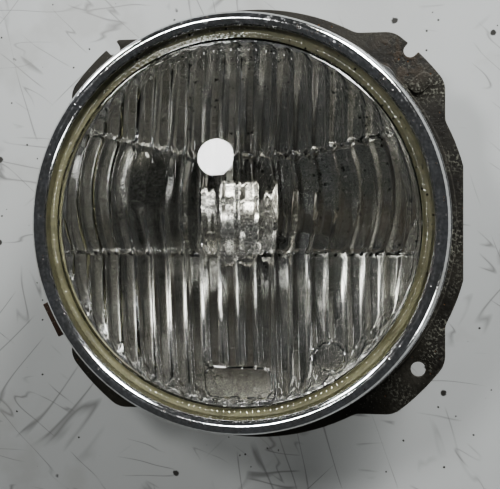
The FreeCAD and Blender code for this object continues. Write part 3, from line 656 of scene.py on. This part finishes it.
def lathe(profile: Sequence[Point], steps: int = 96, closed: bool = True) -> bmesh.types.BMesh:
    """Turns a profile round the Y axis.

    Args:
        profile: its points as radius and depth.
        steps: how many steps make the full turn.
        closed: whether the last point joins the first; a profile from axis to axis does not.

    Returns:
        The turned shape, with its normals outwards.
    """
    bm = bmesh.new()
    verts = [bm.verts.new((radius, depth, 0.0)) for radius, depth in profile]
    pairs = list(zip(verts, verts[1:])) + ([(verts[-1], verts[0])] if closed else [])
    edges = [bm.edges.new(pair) for pair in pairs]
    bmesh.ops.spin(
        bm, geom=verts + edges, cent=(0, 0, 0), axis=(0, 1, 0), angle=math.tau, steps=steps, use_merge=True
    )
    bmesh.ops.remove_doubles(bm, verts=bm.verts, dist=1e-4)
    bmesh.ops.recalc_face_normals(bm, faces=bm.faces)
    return bm


def soften(bm: bmesh.types.BMesh, width: float, angle: float = 30.0, segments: int = 2) -> None:
    """Rounds the sharp edges.

    Args:
        bm: the shape.
        width: how far each bevel reaches.
        angle: how sharp an edge has to be, in degrees.
        segments: how many faces a bevel gets.
    """
    limit = math.radians(angle)
    sharp = [e for e in bm.edges if e.is_manifold and e.calc_face_angle(0.0) > limit]
    bmesh.ops.bevel(
        bm, geom=sharp, offset=width, offset_type="OFFSET", segments=segments, profile=0.5,
        affect="EDGES", clamp_overlap=True, material=-1,
    )


def coil(section: Sequence[Point], pitch: float, turns: float, steps: int = 16) -> bmesh.types.BMesh:
    """Winds a closed section round the Y axis as a helix, with both ends filled.

    Args:
        section: the section's corners as radius and depth.
        pitch: how far one turn climbs.
        turns: how many turns it has.
        steps: how many steps one turn gets.

    Returns:
        The wound shape.
    """
    bm = bmesh.new()
    verts = [bm.verts.new((radius, depth, 0.0)) for radius, depth in section]
    edges = [bm.edges.new(pair) for pair in zip(verts, verts[1:] + verts[:1])]
    bmesh.ops.spin(
        bm, geom=verts + edges, cent=(0, 0, 0), axis=(0, 1, 0), dvec=(0, pitch / steps, 0),
        angle=math.tau * turns, steps=round(steps * turns), use_merge=False,
    )
    bmesh.ops.holes_fill(bm, edges=[e for e in bm.edges if e.is_boundary], sides=0)
    bmesh.ops.recalc_face_normals(bm, faces=bm.faces)
    return bm


def joined(first: bmesh.types.BMesh, *others: bmesh.types.BMesh) -> bmesh.types.BMesh:
    """Adds shapes to a first one.

    Args:
        first: the shape that takes the others.
        *others: the shapes that are added; they are freed.

    Returns:
        The first shape.
    """
    for other in others:
        spare = bpy.data.meshes.new("spare")
        other.to_mesh(spare)
        other.free()
        first.from_mesh(spare)
        bpy.data.meshes.remove(spare)
    return first


class Bench:
    """Where pieces are finished: it knows the frame and the finishes."""

    def __init__(self, frame: dict[str, Any]) -> None:
        """Makes the finishes and notes which body each CAD node belongs to.
        """
        self.nodes = frame["nodes"]
        bodies = frame["record"]["behaviour"]["bodies"]
        self.body_of = {node: body for body, members in bodies.items() for node in members}
        self.effects = Effects()
        self.finishes = {slot: finish.build(slot.value, self.effects) for slot, finish in FINISHES.items()}

    def deliver(
        self, bm: bmesh.types.BMesh, name: str, slot: Slot, replaces: Sequence[str],
        centre: Point = (0.0, 0.0), sharp: float = 38.0,
    ) -> bpy.types.Object:
        """Makes a piece of a shape and puts it on the body of the node that it stands for.

        Args:
            bm: the shape, in millimetres; it is freed.
            name: the piece's name.
            slot: the slot that it takes its finish from.
            replaces: the CAD nodes that it stands for.
            centre: where its axis is, as X and Z.
            sharp: edges turned more than this many degrees stay sharp.

        Returns:
            The piece's object.
        """
        bmesh.ops.translate(bm, vec=(centre[0], 0.0, centre[1]), verts=bm.verts)
        bmesh.ops.scale(bm, vec=(MM, MM, MM), verts=bm.verts)
        mesh = bpy.data.meshes.new(name)
        bm.to_mesh(mesh)
        bm.free()
        piece = bpy.data.objects.new(name, mesh)
        bpy.context.scene.collection.objects.link(piece)
        mesh.materials.append(self.finishes[slot])
        for face in mesh.polygons:
            face.use_smooth = True
        mesh.set_sharp_from_angle(angle=math.radians(sharp))
        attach(piece, self.body_of[replaces[0]])
        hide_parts(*replaces)
        LOG.info("%s: %d faces, %s", name, len(mesh.polygons), slot.value)
        return piece

    def fair(self, node: str, slot: Slot, edge: float = 0.15, sharp: float = 38.0) -> bpy.types.Object:
        """Copies a CAD node, merges its loose triangles and rounds its sharp edges.

        Args:
            node: the CAD node.
            slot: the slot that it takes its finish from.
            edge: the width of its edge bevels; 0 leaves them sharp.
            sharp: edges turned more than this many degrees stay sharp.

        Returns:
            The piece's object.
        """
        bm = bmesh.new()
        bm.from_mesh(self.nodes[node].data)
        bmesh.ops.scale(bm, vec=(1 / MM, 1 / MM, 1 / MM), verts=bm.verts)
        bmesh.ops.remove_doubles(bm, verts=bm.verts, dist=0.003)
        if edge:
            bmesh.ops.dissolve_limit(bm, angle_limit=math.radians(0.5), verts=bm.verts, edges=bm.edges)
            soften(bm, edge)
            bmesh.ops.triangulate(bm, faces=bm.faces)
        return self.deliver(bm, f"{node}_faired", slot, (node,), sharp=sharp)


# ---------------------------------------------------------------- the front glass


@dataclass
class Lens:
    """The fluted front glass: a domed plate with upright flutes inside, in three bands."""

    bench: Bench
    apex: float = 43.5
    thickness: float = 4.0
    dome_radius: float = 65.2
    dome_edge: float = 32.6
    shoulder: float = 65.9
    flange_front: float = 31.5
    flange_back: float = 27.5
    flange_radius: float = 72.0
    field_radius: float = 64.6
    field_edge: float = 28.4
    pitch: float = 6.15
    depth: float = 1.25
    columns: int = 400
    rows: int = 160
    band_top: float = 23.2
    band_bottom: float = -10.7
    middle: float = 4.0
    knurls: int = 200
    knurl_height: float = 0.22
    end_margin: float = 0.6
    end_scallop: float = 2.8
    end_width: float = 1.0
    inner_end: float = 3.4
    clear_spot: tuple[float, float] = (-31.0, 15.0)
    clear_size: tuple[float, float] = (9.5, 11.0)
    pad_place: tuple[float, float] = (1.5, -56.0)
    pad_half: tuple[float, float] = (8.6, 2.4)
    pad_corner: float = 3.6
    ring_place: tuple[float, float] = (33.6, -46.4)
    ring_radius: float = 5.6
    mark_line: float = 0.7

    def dome(self, radius: float, apex: float, edge_radius: float, edge: float) -> float:
        """Depth of a domed face at a radius, given its apex and the depth at its edge.

        Args:
            radius: where the depth is wanted.
            apex: how far the face stands out on the axis.
            edge_radius: the radius of its edge.
            edge: how far it stands out there.

        Returns:
            The Y of the face.
        """
        rise = apex - edge
        ball = (edge_radius**2 + rise**2) / (2 * rise)
        return -apex + ball - math.sqrt(ball**2 - radius**2)

    def band_line(self, x: float) -> float:
        """Height of the line between the upper and the middle band, rising to both sides."""
        return self.band_top + 0.235 * max(0.0, abs(x - self.middle) - 18.0)

    def bowed(self, x: float, z: float) -> float:
        """Where a point lies across the flutes of the middle band, which bow outwards.

        Args:
            x: the point's X.
            z: its height.

        Returns:
            Its X with the bow taken out.
        """
        centre = (self.band_line(x) + self.band_bottom) / 2
        half = (self.band_line(x) - self.band_bottom) / 2
        along = min(1.0, abs(z - centre) / half)
        bow = 4.2 * min(1.0, abs(x) / 48.0) * (1 - along**2)
        return x + math.copysign(bow, -x)

    @staticmethod
    def step(value: float, width: float) -> float:
        """Rises from 0 to 1 over a width, rounded like the end of a flute."""
        share = min(1.0, max(0.0, value / width))
        return math.sqrt(1 - (1 - share) ** 2)

    def pads(self, x: float, z: float) -> float | None:
        """Height inside the two blank marks: a rounded pad low down and a plain ring.

        Args:
            x: the point's X.
            z: its height.

        Returns:
            The height, or None outside both marks.
        """
        pad_x, pad_z = self.pad_place
        beside = Vector((abs(x - pad_x) - self.pad_half[0], abs(z - pad_z) - self.pad_half[1]))
        outside = Vector((max(beside.x, 0.0), max(beside.y, 0.0))).length
        pad = outside + min(max(beside.x, beside.y), 0.0) - self.pad_corner
        ring = math.hypot(x - self.ring_place[0], z - self.ring_place[1]) - self.ring_radius
        near = min(pad, ring)
        if near > self.mark_line:
            return None
        return 1.0 if near > -0.5 else 0.35

    def relief(self, x: float, z: float) -> float:
        """How far the inner face stands out at a point, from 0 in a groove to 1 on a crest.

        Args:
            x: the point's X.
            z: its height.

        Returns:
            The height between 0 and 1.
        """
        mark = self.pads(x, z)
        if mark is not None:
            return mark
        upper = self.band_line(x)
        middle = self.band_bottom < z < upper
        across = self.bowed(x, z) if middle else x
        place = (across + 0.5 * self.pitch) / self.pitch
        side = 2 * (place - math.floor(place)) - 1
        crest = 1 - side**2
        end = self.field_radius - self.end_margin - math.hypot(x, z) - self.end_scallop * side**2
        outer = self.step(end, self.end_width)
        inner = self.step(end - self.inner_end, self.end_width)
        height = crest * (0.65 * outer + 0.35 * inner) + 0.14 * self.step(end, 0.6)
        if middle:
            near = min(upper - z, z - self.band_bottom) - 1.3 * side**2
            height *= self.step(near, 1.8)
            spot_x, spot_z = self.clear_spot
            smooth = math.hypot((x - spot_x) / self.clear_size[0], (z - spot_z) / self.clear_size[1])
            height *= min(1.0, max(0.12, 1.5 * (smooth - 0.6)))
        elif z >= upper:
            height *= self.step(z - upper - 1.1 * side**2, 1.6)
        else:
            height *= self.step(self.band_bottom - z, 0.8)
        return min(1.0, height)

    def field(self) -> bmesh.types.BMesh:
        """Makes the fluted inner face: a grid drawn into a disc with its columns kept upright.

        Returns:
            The open face.
        """
        bm = bmesh.new()
        bmesh.ops.create_grid(bm, x_segments=self.columns, y_segments=self.rows, size=1.0)
        reach = max(v.co.x for v in bm.verts)
        for vert in bm.verts:
            u, w = vert.co.x / reach, vert.co.y / reach
            x = self.field_radius * math.sin(u * math.pi / 2)
            chord = math.sqrt(max(self.field_radius**2 - x**2, 0.0))
            z = chord * (0.6 * w + 0.4 * math.sin(w * math.pi / 2))
            base = self.dome(math.hypot(x, z), self.apex - self.thickness, self.field_radius, self.field_edge)
            vert.co = (x, base - self.depth * (1 - self.relief(x, z)), z)
        bmesh.ops.remove_doubles(bm, verts=bm.verts, dist=1e-3)
        return bm

    def stations(self) -> list[tuple[float, float, bool]]:
        """Lists the rings from the fluted face round the flange to the front pole.

        Returns:
            Each ring's radius, its depth and whether it is knurled.
        """
        rings = [(65.4, -self.flange_back, False), (self.flange_radius - 0.3, -self.flange_back, False)]
        rings += [(self.flange_radius, -self.flange_back - 0.3, False)]
        rings += [(self.flange_radius, -self.flange_front + 0.3, False)]
        rings += [(self.flange_radius - 0.3, -self.flange_front, False)]
        rings += [(68.2, -self.flange_front, False), (68.0, -self.flange_front, True)]
        rings += [(67.3, -self.flange_front, True), (67.1, -self.flange_front, False)]
        rings += [(self.shoulder, -self.flange_front, False), (self.dome_radius, -self.dome_edge, False)]
        for share in (0.985, 0.96, 0.92, 0.86, 0.78, 0.68, 0.56, 0.44, 0.32, 0.2, 0.1, 0.0):
            radius = self.dome_radius * share
            rings.append((radius, self.dome(radius, self.apex, self.dome_radius, self.dome_edge), False))
        return rings

    def build(self) -> None:
        """Grows the flange and the smooth front from the fluted face's edge and delivers the glass."""
        bm = self.field()
        ring = [e for e in bm.edges if e.is_boundary]
        for radius, depth, knurled in self.stations():
            grown = bmesh.ops.extrude_edge_only(bm, edges=ring)["geom"]
            ring = [g for g in grown if isinstance(g, bmesh.types.BMEdge)]
            for vert in (g for g in grown if isinstance(g, bmesh.types.BMVert)):
                turn = math.atan2(vert.co.z, vert.co.x)
                lift = self.knurl_height if knurled and math.sin(turn * self.knurls + 0.785) > 0 else 0.0
                vert.co = (radius * math.cos(turn), depth - lift, radius * math.sin(turn))
        bmesh.ops.remove_doubles(bm, verts=bm.verts, dist=1e-4)
        bmesh.ops.recalc_face_normals(bm, faces=bm.faces)
        self.bench.deliver(bm, "fluted_lens", Slot.LENS, ("lens",), sharp=42.0)


@dataclass
class FrontRing:
    """What holds the glass: the chromed rim, the gasket and the ring behind them."""

    bench: Bench
    rim_inner: float = 69.9
    wall: float = 75.2
    lip: float = 76.0
    sheet: float = 0.9
    bead: float = 2.7
    crown: float = 31.6
    back: float = 23.2
    ring_back: float = 24.0
    gasket: tuple[float, float] = (65.4, 72.5)
    gasket_front: float = 27.5
    gasket_back: float = 26.0
    gasket_ribs: tuple[float, ...] = (66.4, 69.0)

    def build(self) -> None:
        """Makes the rim, the gasket and the support ring."""
        mouth_front = (self.rim_inner, -self.crown - 0.6)
        mouth_back = (self.rim_inner, -self.crown + 0.1)
        outer = arc(mouth_front, (self.wall, -self.crown), self.bead, 22)
        hollow_start = (self.wall - self.sheet, -self.crown)
        hollow_end = (self.wall - self.bead - (self.bead - self.sheet) + 0.1, -self.crown + 0.1)
        hollow = arc(hollow_start, hollow_end, -(self.bead - self.sheet), 10)
        skirt = [
            (self.wall, -self.ring_back - 1.4), (self.wall + 0.25, -self.ring_back - 0.8),
            (self.lip, -self.ring_back - 0.45), (self.lip, -self.back), (self.wall, -self.back),
            (self.wall - self.sheet, -self.ring_back - 0.9), hollow_start,
        ]
        profile = [mouth_front, *outer, *skirt, *hollow, mouth_back]
        bm = lathe(profile, 320)
        soften(bm, 0.12, angle=40.0)
        self.bench.deliver(bm, "chrome_rim", Slot.CHROME, ("rim",), sharp=50.0)
        self.make_gasket()
        self.bench.fair("support_ring", Slot.ZINC, 0.0)

    def make_gasket(self) -> None:
        """Makes the gasket: a soft ring with two fine ribs on its front."""
        inner, outer = self.gasket
        front, rear = -self.gasket_front, -self.gasket_back
        ribs: list[Point] = []
        for centre in self.gasket_ribs:
            ribs += [(centre - 0.5, front + 0.22), (centre - 0.2, front), (centre + 0.2, front)]
            ribs += [(centre + 0.5, front + 0.22)]
        profile = [(inner, front + 0.3), *ribs, (outer, front + 0.22), (outer, rear), (inner, rear)]
        bm = lathe(profile, 240)
        soften(bm, 0.1, angle=60.0, segments=1)
        self.bench.deliver(bm, "sealing_ring", Slot.GASKET, ("lens_gasket",))


# ---------------------------------------------------------------- bowl, shield and bulb


@dataclass
class Bowl:
    """The reflector: a paraboloid with a front flange and a rear neck."""

    bench: Bench
    focal: float = 21.5
    vertex: float = 21.6
    shift: float = 1.3
    flange_front: float = 26.0
    flange_back: float = 25.2
    flange_radius: float = 72.5
    neck_inner: float = 12.0
    neck_sheet: float = 0.8
    neck_flange: float = 19.0
    neck_back: float = 24.3

    def curve(self, top: float, first: float, last: float, count: int) -> list[Point]:
        """Points on a parabola.

        Args:
            top: the depth of its vertex.
            first: the radius that it starts at.
            last: the radius that it ends at.
            count: how many steps it has.

        Returns:
            The points as radius and depth.
        """
        radii = [first + (last - first) * i / count for i in range(count + 1)]
        return [(radius, top - radius**2 / (4 * self.focal)) for radius in radii]

    def build(self) -> None:
        """Turns the bowl and delivers it."""
        mouth = math.sqrt(4 * self.focal * (self.vertex + self.flange_front))
        outer_mouth = math.sqrt(4 * self.focal * (self.vertex + self.shift + self.flange_back))
        neck = self.neck_inner
        neck_front = self.neck_back - self.neck_sheet
        profile = self.curve(self.vertex, neck, mouth, 56)
        profile += [(self.flange_radius, -self.flange_front), (self.flange_radius, -self.flange_back)]
        profile += self.curve(self.vertex + self.shift, outer_mouth, neck + self.neck_sheet, 40)
        profile += [(neck + self.neck_sheet, neck_front), (self.neck_flange, neck_front)]
        profile += [(self.neck_flange, self.neck_back), (neck, self.neck_back)]
        bm = lathe(profile, 256)
        soften(bm, 0.15, angle=45.0)
        self.bench.deliver(bm, "mirror_bowl", Slot.MIRROR, ("reflector",), sharp=60.0)


@dataclass
class Shield:
    """The stepped cup in front of the bulb and its three-legged stand."""

    bench: Bench
    radius: float = 15.8
    front: float = 28.0
    back: float = 10.0
    sheet: float = 0.7

    def build(self) -> None:
        """Turns the cup and fairs the stand."""
        inner, face = self.radius - self.sheet, -self.front
        dome_in = arc((8.6, face + 3.9), (0.0, face + self.sheet), -14.0, 12)
        dome_out = arc((0.0, face), (9.4, face + 3.4), 14.0, 14)
        corner = arc((self.radius - 2, face + 4.0), (self.radius, face + 6.0), 2.0, 8)
        corner_in = arc((inner, face + 6.0), (inner - 1.6, face + 4.7), -1.6, 6)
        profile = [
            *dome_in[:-1], (0.0, face + self.sheet), (0.0, face), *dome_out, (10.0, face + 4.0),
            (self.radius - 2, face + 4.0), *corner, (self.radius, -self.back - 0.4),
            (self.radius + 0.35, -self.back), (inner, -self.back), (inner, face + 6.0), *corner_in,
            (9.3, face + 4.7), (8.6, face + 3.9),
        ]
        bm = lathe(profile[len(dome_in) :] + profile[: len(dome_in)], 144, closed=False)
        soften(bm, 0.12, angle=40.0)
        self.bench.deliver(bm, "glare_cup", Slot.SHIELD, ("glare_shield",), sharp=50.0)
        self.bench.fair("shield_stand", Slot.SPRING, 0.12)


@dataclass
class Bulb:
    """The bulb and what holds it: glass, coil, cap, seat plate, spades and wire clip."""

    bench: Bench
    glass_radius: float = 4.5
    wall: float = 0.8
    tip: float = -17.0
    root: float = 15.5
    coil_radius: float = 0.5
    wire: float = 0.11
    coil_start: float = -2.1
    coil_turns: int = 12
    coil_pitch: float = 0.36
    faired: dict[str, tuple[Slot, float]] = field(
        default_factory=lambda: {
            "filament_posts": (Slot.TUNGSTEN, 0.0),
            "bulb_stem": (Slot.BULB, 0.2),
            "bulb_base": (Slot.NICKEL, 0.2),
            "bulb_insulator": (Slot.INSULATOR, 0.3),
            "bulb_terminal": (Slot.BRASS, 0.12),
            "earth_terminal": (Slot.BRASS, 0.12),
            "bulb_seat": (Slot.ZINC, 0.12),
            "seat_rivets": (Slot.SHIELD, 0.15),
        }
    )

    def build(self) -> None:
        """Makes the glass and the coil and fairs the rest."""
        outer, inner = self.glass_radius, self.glass_radius - self.wall
        shoulder = self.tip + outer
        dome = arc((0.0, self.tip), (outer, shoulder), outer, 10)
        hollow = arc((inner, shoulder), (0.0, self.tip + self.wall), -inner, 8)
        profile = [
            (0.0, self.tip), *dome, (outer, self.root), (inner, self.root), (inner, shoulder), *hollow,
        ]
        bm = lathe(profile, 48, closed=False)
        self.bench.deliver(bm, "bulb_envelope", Slot.BULB, ("bulb_glass",))
        corners = [math.tau * i / 6 for i in range(6)]
        section = [
            (self.coil_radius + self.wire * math.cos(corner), self.coil_start + self.wire * math.sin(corner))
            for corner in corners
        ]
        bm = coil(section, self.coil_pitch, self.coil_turns)
        self.bench.deliver(bm, "coiled_filament", Slot.TUNGSTEN, ("filament",))
        for node, (slot, edge) in self.faired.items():
            self.bench.fair(node, slot, edge)
        self.bench.fair("bulb_clip", Slot.SPRING, 0.0, sharp=60.0)


# ---------------------------------------------------------------- carrier, fastening and aiming


@dataclass
class Adjuster:
    """One aiming screw: bush, threaded screw, retaining clip, knob, ball nut and socket."""

    bench: Bench
    axis: str
    centre: Point
    thread_radius: float = 2.4
    root_radius: float = 1.95
    thread_pitch: float = 0.8
    tip: float = -19.0
    groove: float = -4.3
    groove_front: float = -5.1
    knob_start: float = 0.6
    knob_length: float = 7.5

    def screw(self) -> bmesh.types.BMesh:
        """Makes the screw: a turned core and a wound thread.

        Returns:
            The screw, round its own axis.
        """
        head = self.knob_start + self.knob_length - 1.5
        core = [
            (0.0, self.tip), (self.root_radius - 0.5, self.tip), (self.root_radius, self.tip + 0.6),
            (self.root_radius, self.groove_front - 0.6), (self.thread_radius, self.groove_front - 0.5),
            (self.thread_radius, self.groove_front), (self.thread_radius - 0.6, self.groove_front),
            (self.thread_radius - 0.6, self.groove), (self.thread_radius, self.groove),
            (self.thread_radius, self.knob_start), (self.thread_radius + 0.8, self.knob_start),
            (self.thread_radius + 0.8, head), (0.0, head),
        ]
        turned = lathe(core, 40, closed=False)
        soften(turned, 0.1, angle=50.0, segments=1)
        start = self.tip + 0.75
        flank = self.root_radius - 0.12
        section = [(flank, start - 0.38), (self.thread_radius, start), (flank, start + 0.38)]
        turns = (self.groove_front - 1.1 - start) / self.thread_pitch
        return joined(turned, coil(section, self.thread_pitch, turns, 20))

    def build(self) -> None:
        """Makes the screw and fairs the other pieces."""
        axis = self.axis
        self.bench.deliver(self.screw(), f"{axis}_threaded_screw", Slot.ZINC, (f"{axis}_screw",), self.centre)
        self.bench.fair(f"{axis}_bush", Slot.WHITE_NYLON, 0.15)
        self.bench.fair(f"{axis}_e_clip", Slot.SPRING, 0.1)
        self.bench.fair(f"{axis}_knob", Slot.BLACK_NYLON, 0.2)
        self.bench.fair(f"{axis}_nut", Slot.WHITE_NYLON, 0.0)
        self.bench.fair(f"{axis}_socket", Slot.BLACK_NYLON, 0.25)


@dataclass
class Carrier:
    """The pressed plate, the pivot that the lamp turns on and the rim's fastening."""

    bench: Bench
    aim: float = 50.0
    faired: dict[str, tuple[Slot, float]] = field(
        default_factory=lambda: {
            "carrier_plate": (Slot.CARRIER, 0.28),
            "pivot_stud": (Slot.ZINC, 0.15),
            "pivot_cup": (Slot.WHITE_NYLON, 0.0),
            "pivot_socket": (Slot.BLACK_NYLON, 0.25),
            "rim_clips": (Slot.SPRING, 0.15),
            "rim_clamp": (Slot.RUST, 0.3),
            "clamp_screw": (Slot.ZINC, 0.15),
        }
    )

    def build(self) -> None:
        """Fairs the plate, the pivot and the fastening, and makes both adjusters."""
        for node, (slot, edge) in self.faired.items():
            self.bench.fair(node, slot, edge)
        Adjuster(self.bench, "pitch", (-self.aim, -self.aim)).build()
        Adjuster(self.bench, "yaw", (self.aim, self.aim)).build()


# ---------------------------------------------------------------- studio


@dataclass(frozen=True)
class StudioLight:
    """One area light; places are in metres."""

    name: str
    place: tuple[float, float, float]
    power: float
    size: float
    disc: bool = False
    aim: tuple[float, float, float] = (0.0, -0.03, 0.0)

    def build(self) -> None:
        """Hangs the light and points it."""
        data = bpy.data.lights.new(self.name, "AREA")
        data.shape = "DISK" if self.disc else "SQUARE"
        data.size = self.size
        data.energy = self.power
        lamp = bpy.data.objects.new(self.name, data)
        lamp.location = self.place
        lamp.rotation_euler = (Vector(self.aim) - Vector(self.place)).to_track_quat("-Z", "Y").to_euler()
        bpy.context.scene.collection.objects.link(lamp)


@dataclass
class Studio:
    """The pale board behind the lamp, the soft lights and the camera; places are in metres."""

    bench: Bench
    board_depth: float = 0.0465
    board_size: float = 1.6
    turn: float = 10.0
    distance: float = 0.4
    target: tuple[float, float, float] = (0.0, -0.024, 0.0)
    lens: float = 79.6
    shift: Point = (0.0232, -0.0426)
    room: Colour = (0.60, 0.62, 0.64)
    room_strength: float = 0.12
    backdrop_strength: float = 0.75
    lights: tuple[StudioLight, ...] = (
        StudioLight("round_lamp", (-0.137, -0.553, 0.177), 1.1, 0.10, disc=True),
        StudioLight("upper_left_box", (-0.85, -0.38, 0.80), 8.0, 0.30),
        StudioLight("overhead_box", (0.62, -0.70, 1.15), 32.0, 0.5),
        StudioLight("lower_right_box", (0.90, -0.34, -0.50), 2.0, 0.26),
        StudioLight("rear_box", (-0.65, 1.00, 0.70), 16.0, 0.6),
    )

    def build(self) -> None:
        """Sets the board, the world, the lights and the camera."""
        bm = bmesh.new()
        bmesh.ops.create_grid(bm, x_segments=8, y_segments=8, size=self.board_size / 2)
        bmesh.ops.rotate(bm, cent=(0, 0, 0), matrix=Matrix.Rotation(math.pi / 2, 3, "X"), verts=bm.verts)
        bmesh.ops.translate(bm, vec=(0, self.board_depth, 0), verts=bm.verts)
        mesh = bpy.data.meshes.new("board")
        bm.to_mesh(mesh)
        bm.free()
        board = bpy.data.objects.new("board", mesh)
        bpy.context.scene.collection.objects.link(board)
        mesh.materials.append(TableFinish().build("board_paint", self.bench.effects))
        board.visible_shadow = False
        world = bpy.data.worlds.new("soft_room")
        world.use_nodes = True
        tree = Tree(world.node_tree)
        dim = tree.add("Background", {"Color": self.room, "Strength": self.room_strength})
        pale = tree.add("Background", {"Color": self.room, "Strength": self.backdrop_strength})
        seen = tree.add("LightPath").outputs["Is Camera Ray"]
        mix = tree.add("MixShader", {0: seen, 1: dim.outputs[0], 2: pale.outputs[0]})
        tree.add("OutputWorld", {"Surface": mix.outputs[0]})
        bpy.context.scene.world = world
        bpy.context.scene.view_settings.look = "AgX - Medium High Contrast"
        for light in self.lights:
            light.build()
        self.set_camera()

    def set_camera(self) -> None:
        """Places the camera turned to the lamp's right, level with its axis."""
        data = bpy.data.cameras.new("camera")
        data.lens = self.lens
        data.shift_x, data.shift_y = self.shift
        camera = bpy.data.objects.new("camera", data)
        angle = math.radians(self.turn)
        back = Vector((math.sin(angle), -math.cos(angle), 0.0))
        camera.location = Vector(self.target) + back * self.distance
        camera.rotation_euler = (math.pi / 2, 0.0, angle)
        bpy.context.scene.collection.objects.link(camera)
        bpy.context.scene.camera = camera


def main() -> None:
    """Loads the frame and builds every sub-assembly in order."""
    logging.basicConfig(level=logging.INFO, format="%(name)s %(message)s")
    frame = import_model()
    bench = Bench(frame)
    for assembly in (Carrier(bench), FrontRing(bench), Lens(bench), Bowl(bench), Shield(bench), Bulb(bench)):
        LOG.info("building %s", type(assembly).__name__)
        assembly.build()
    Studio(bench).build()


if __name__ == "__main__":
    main()
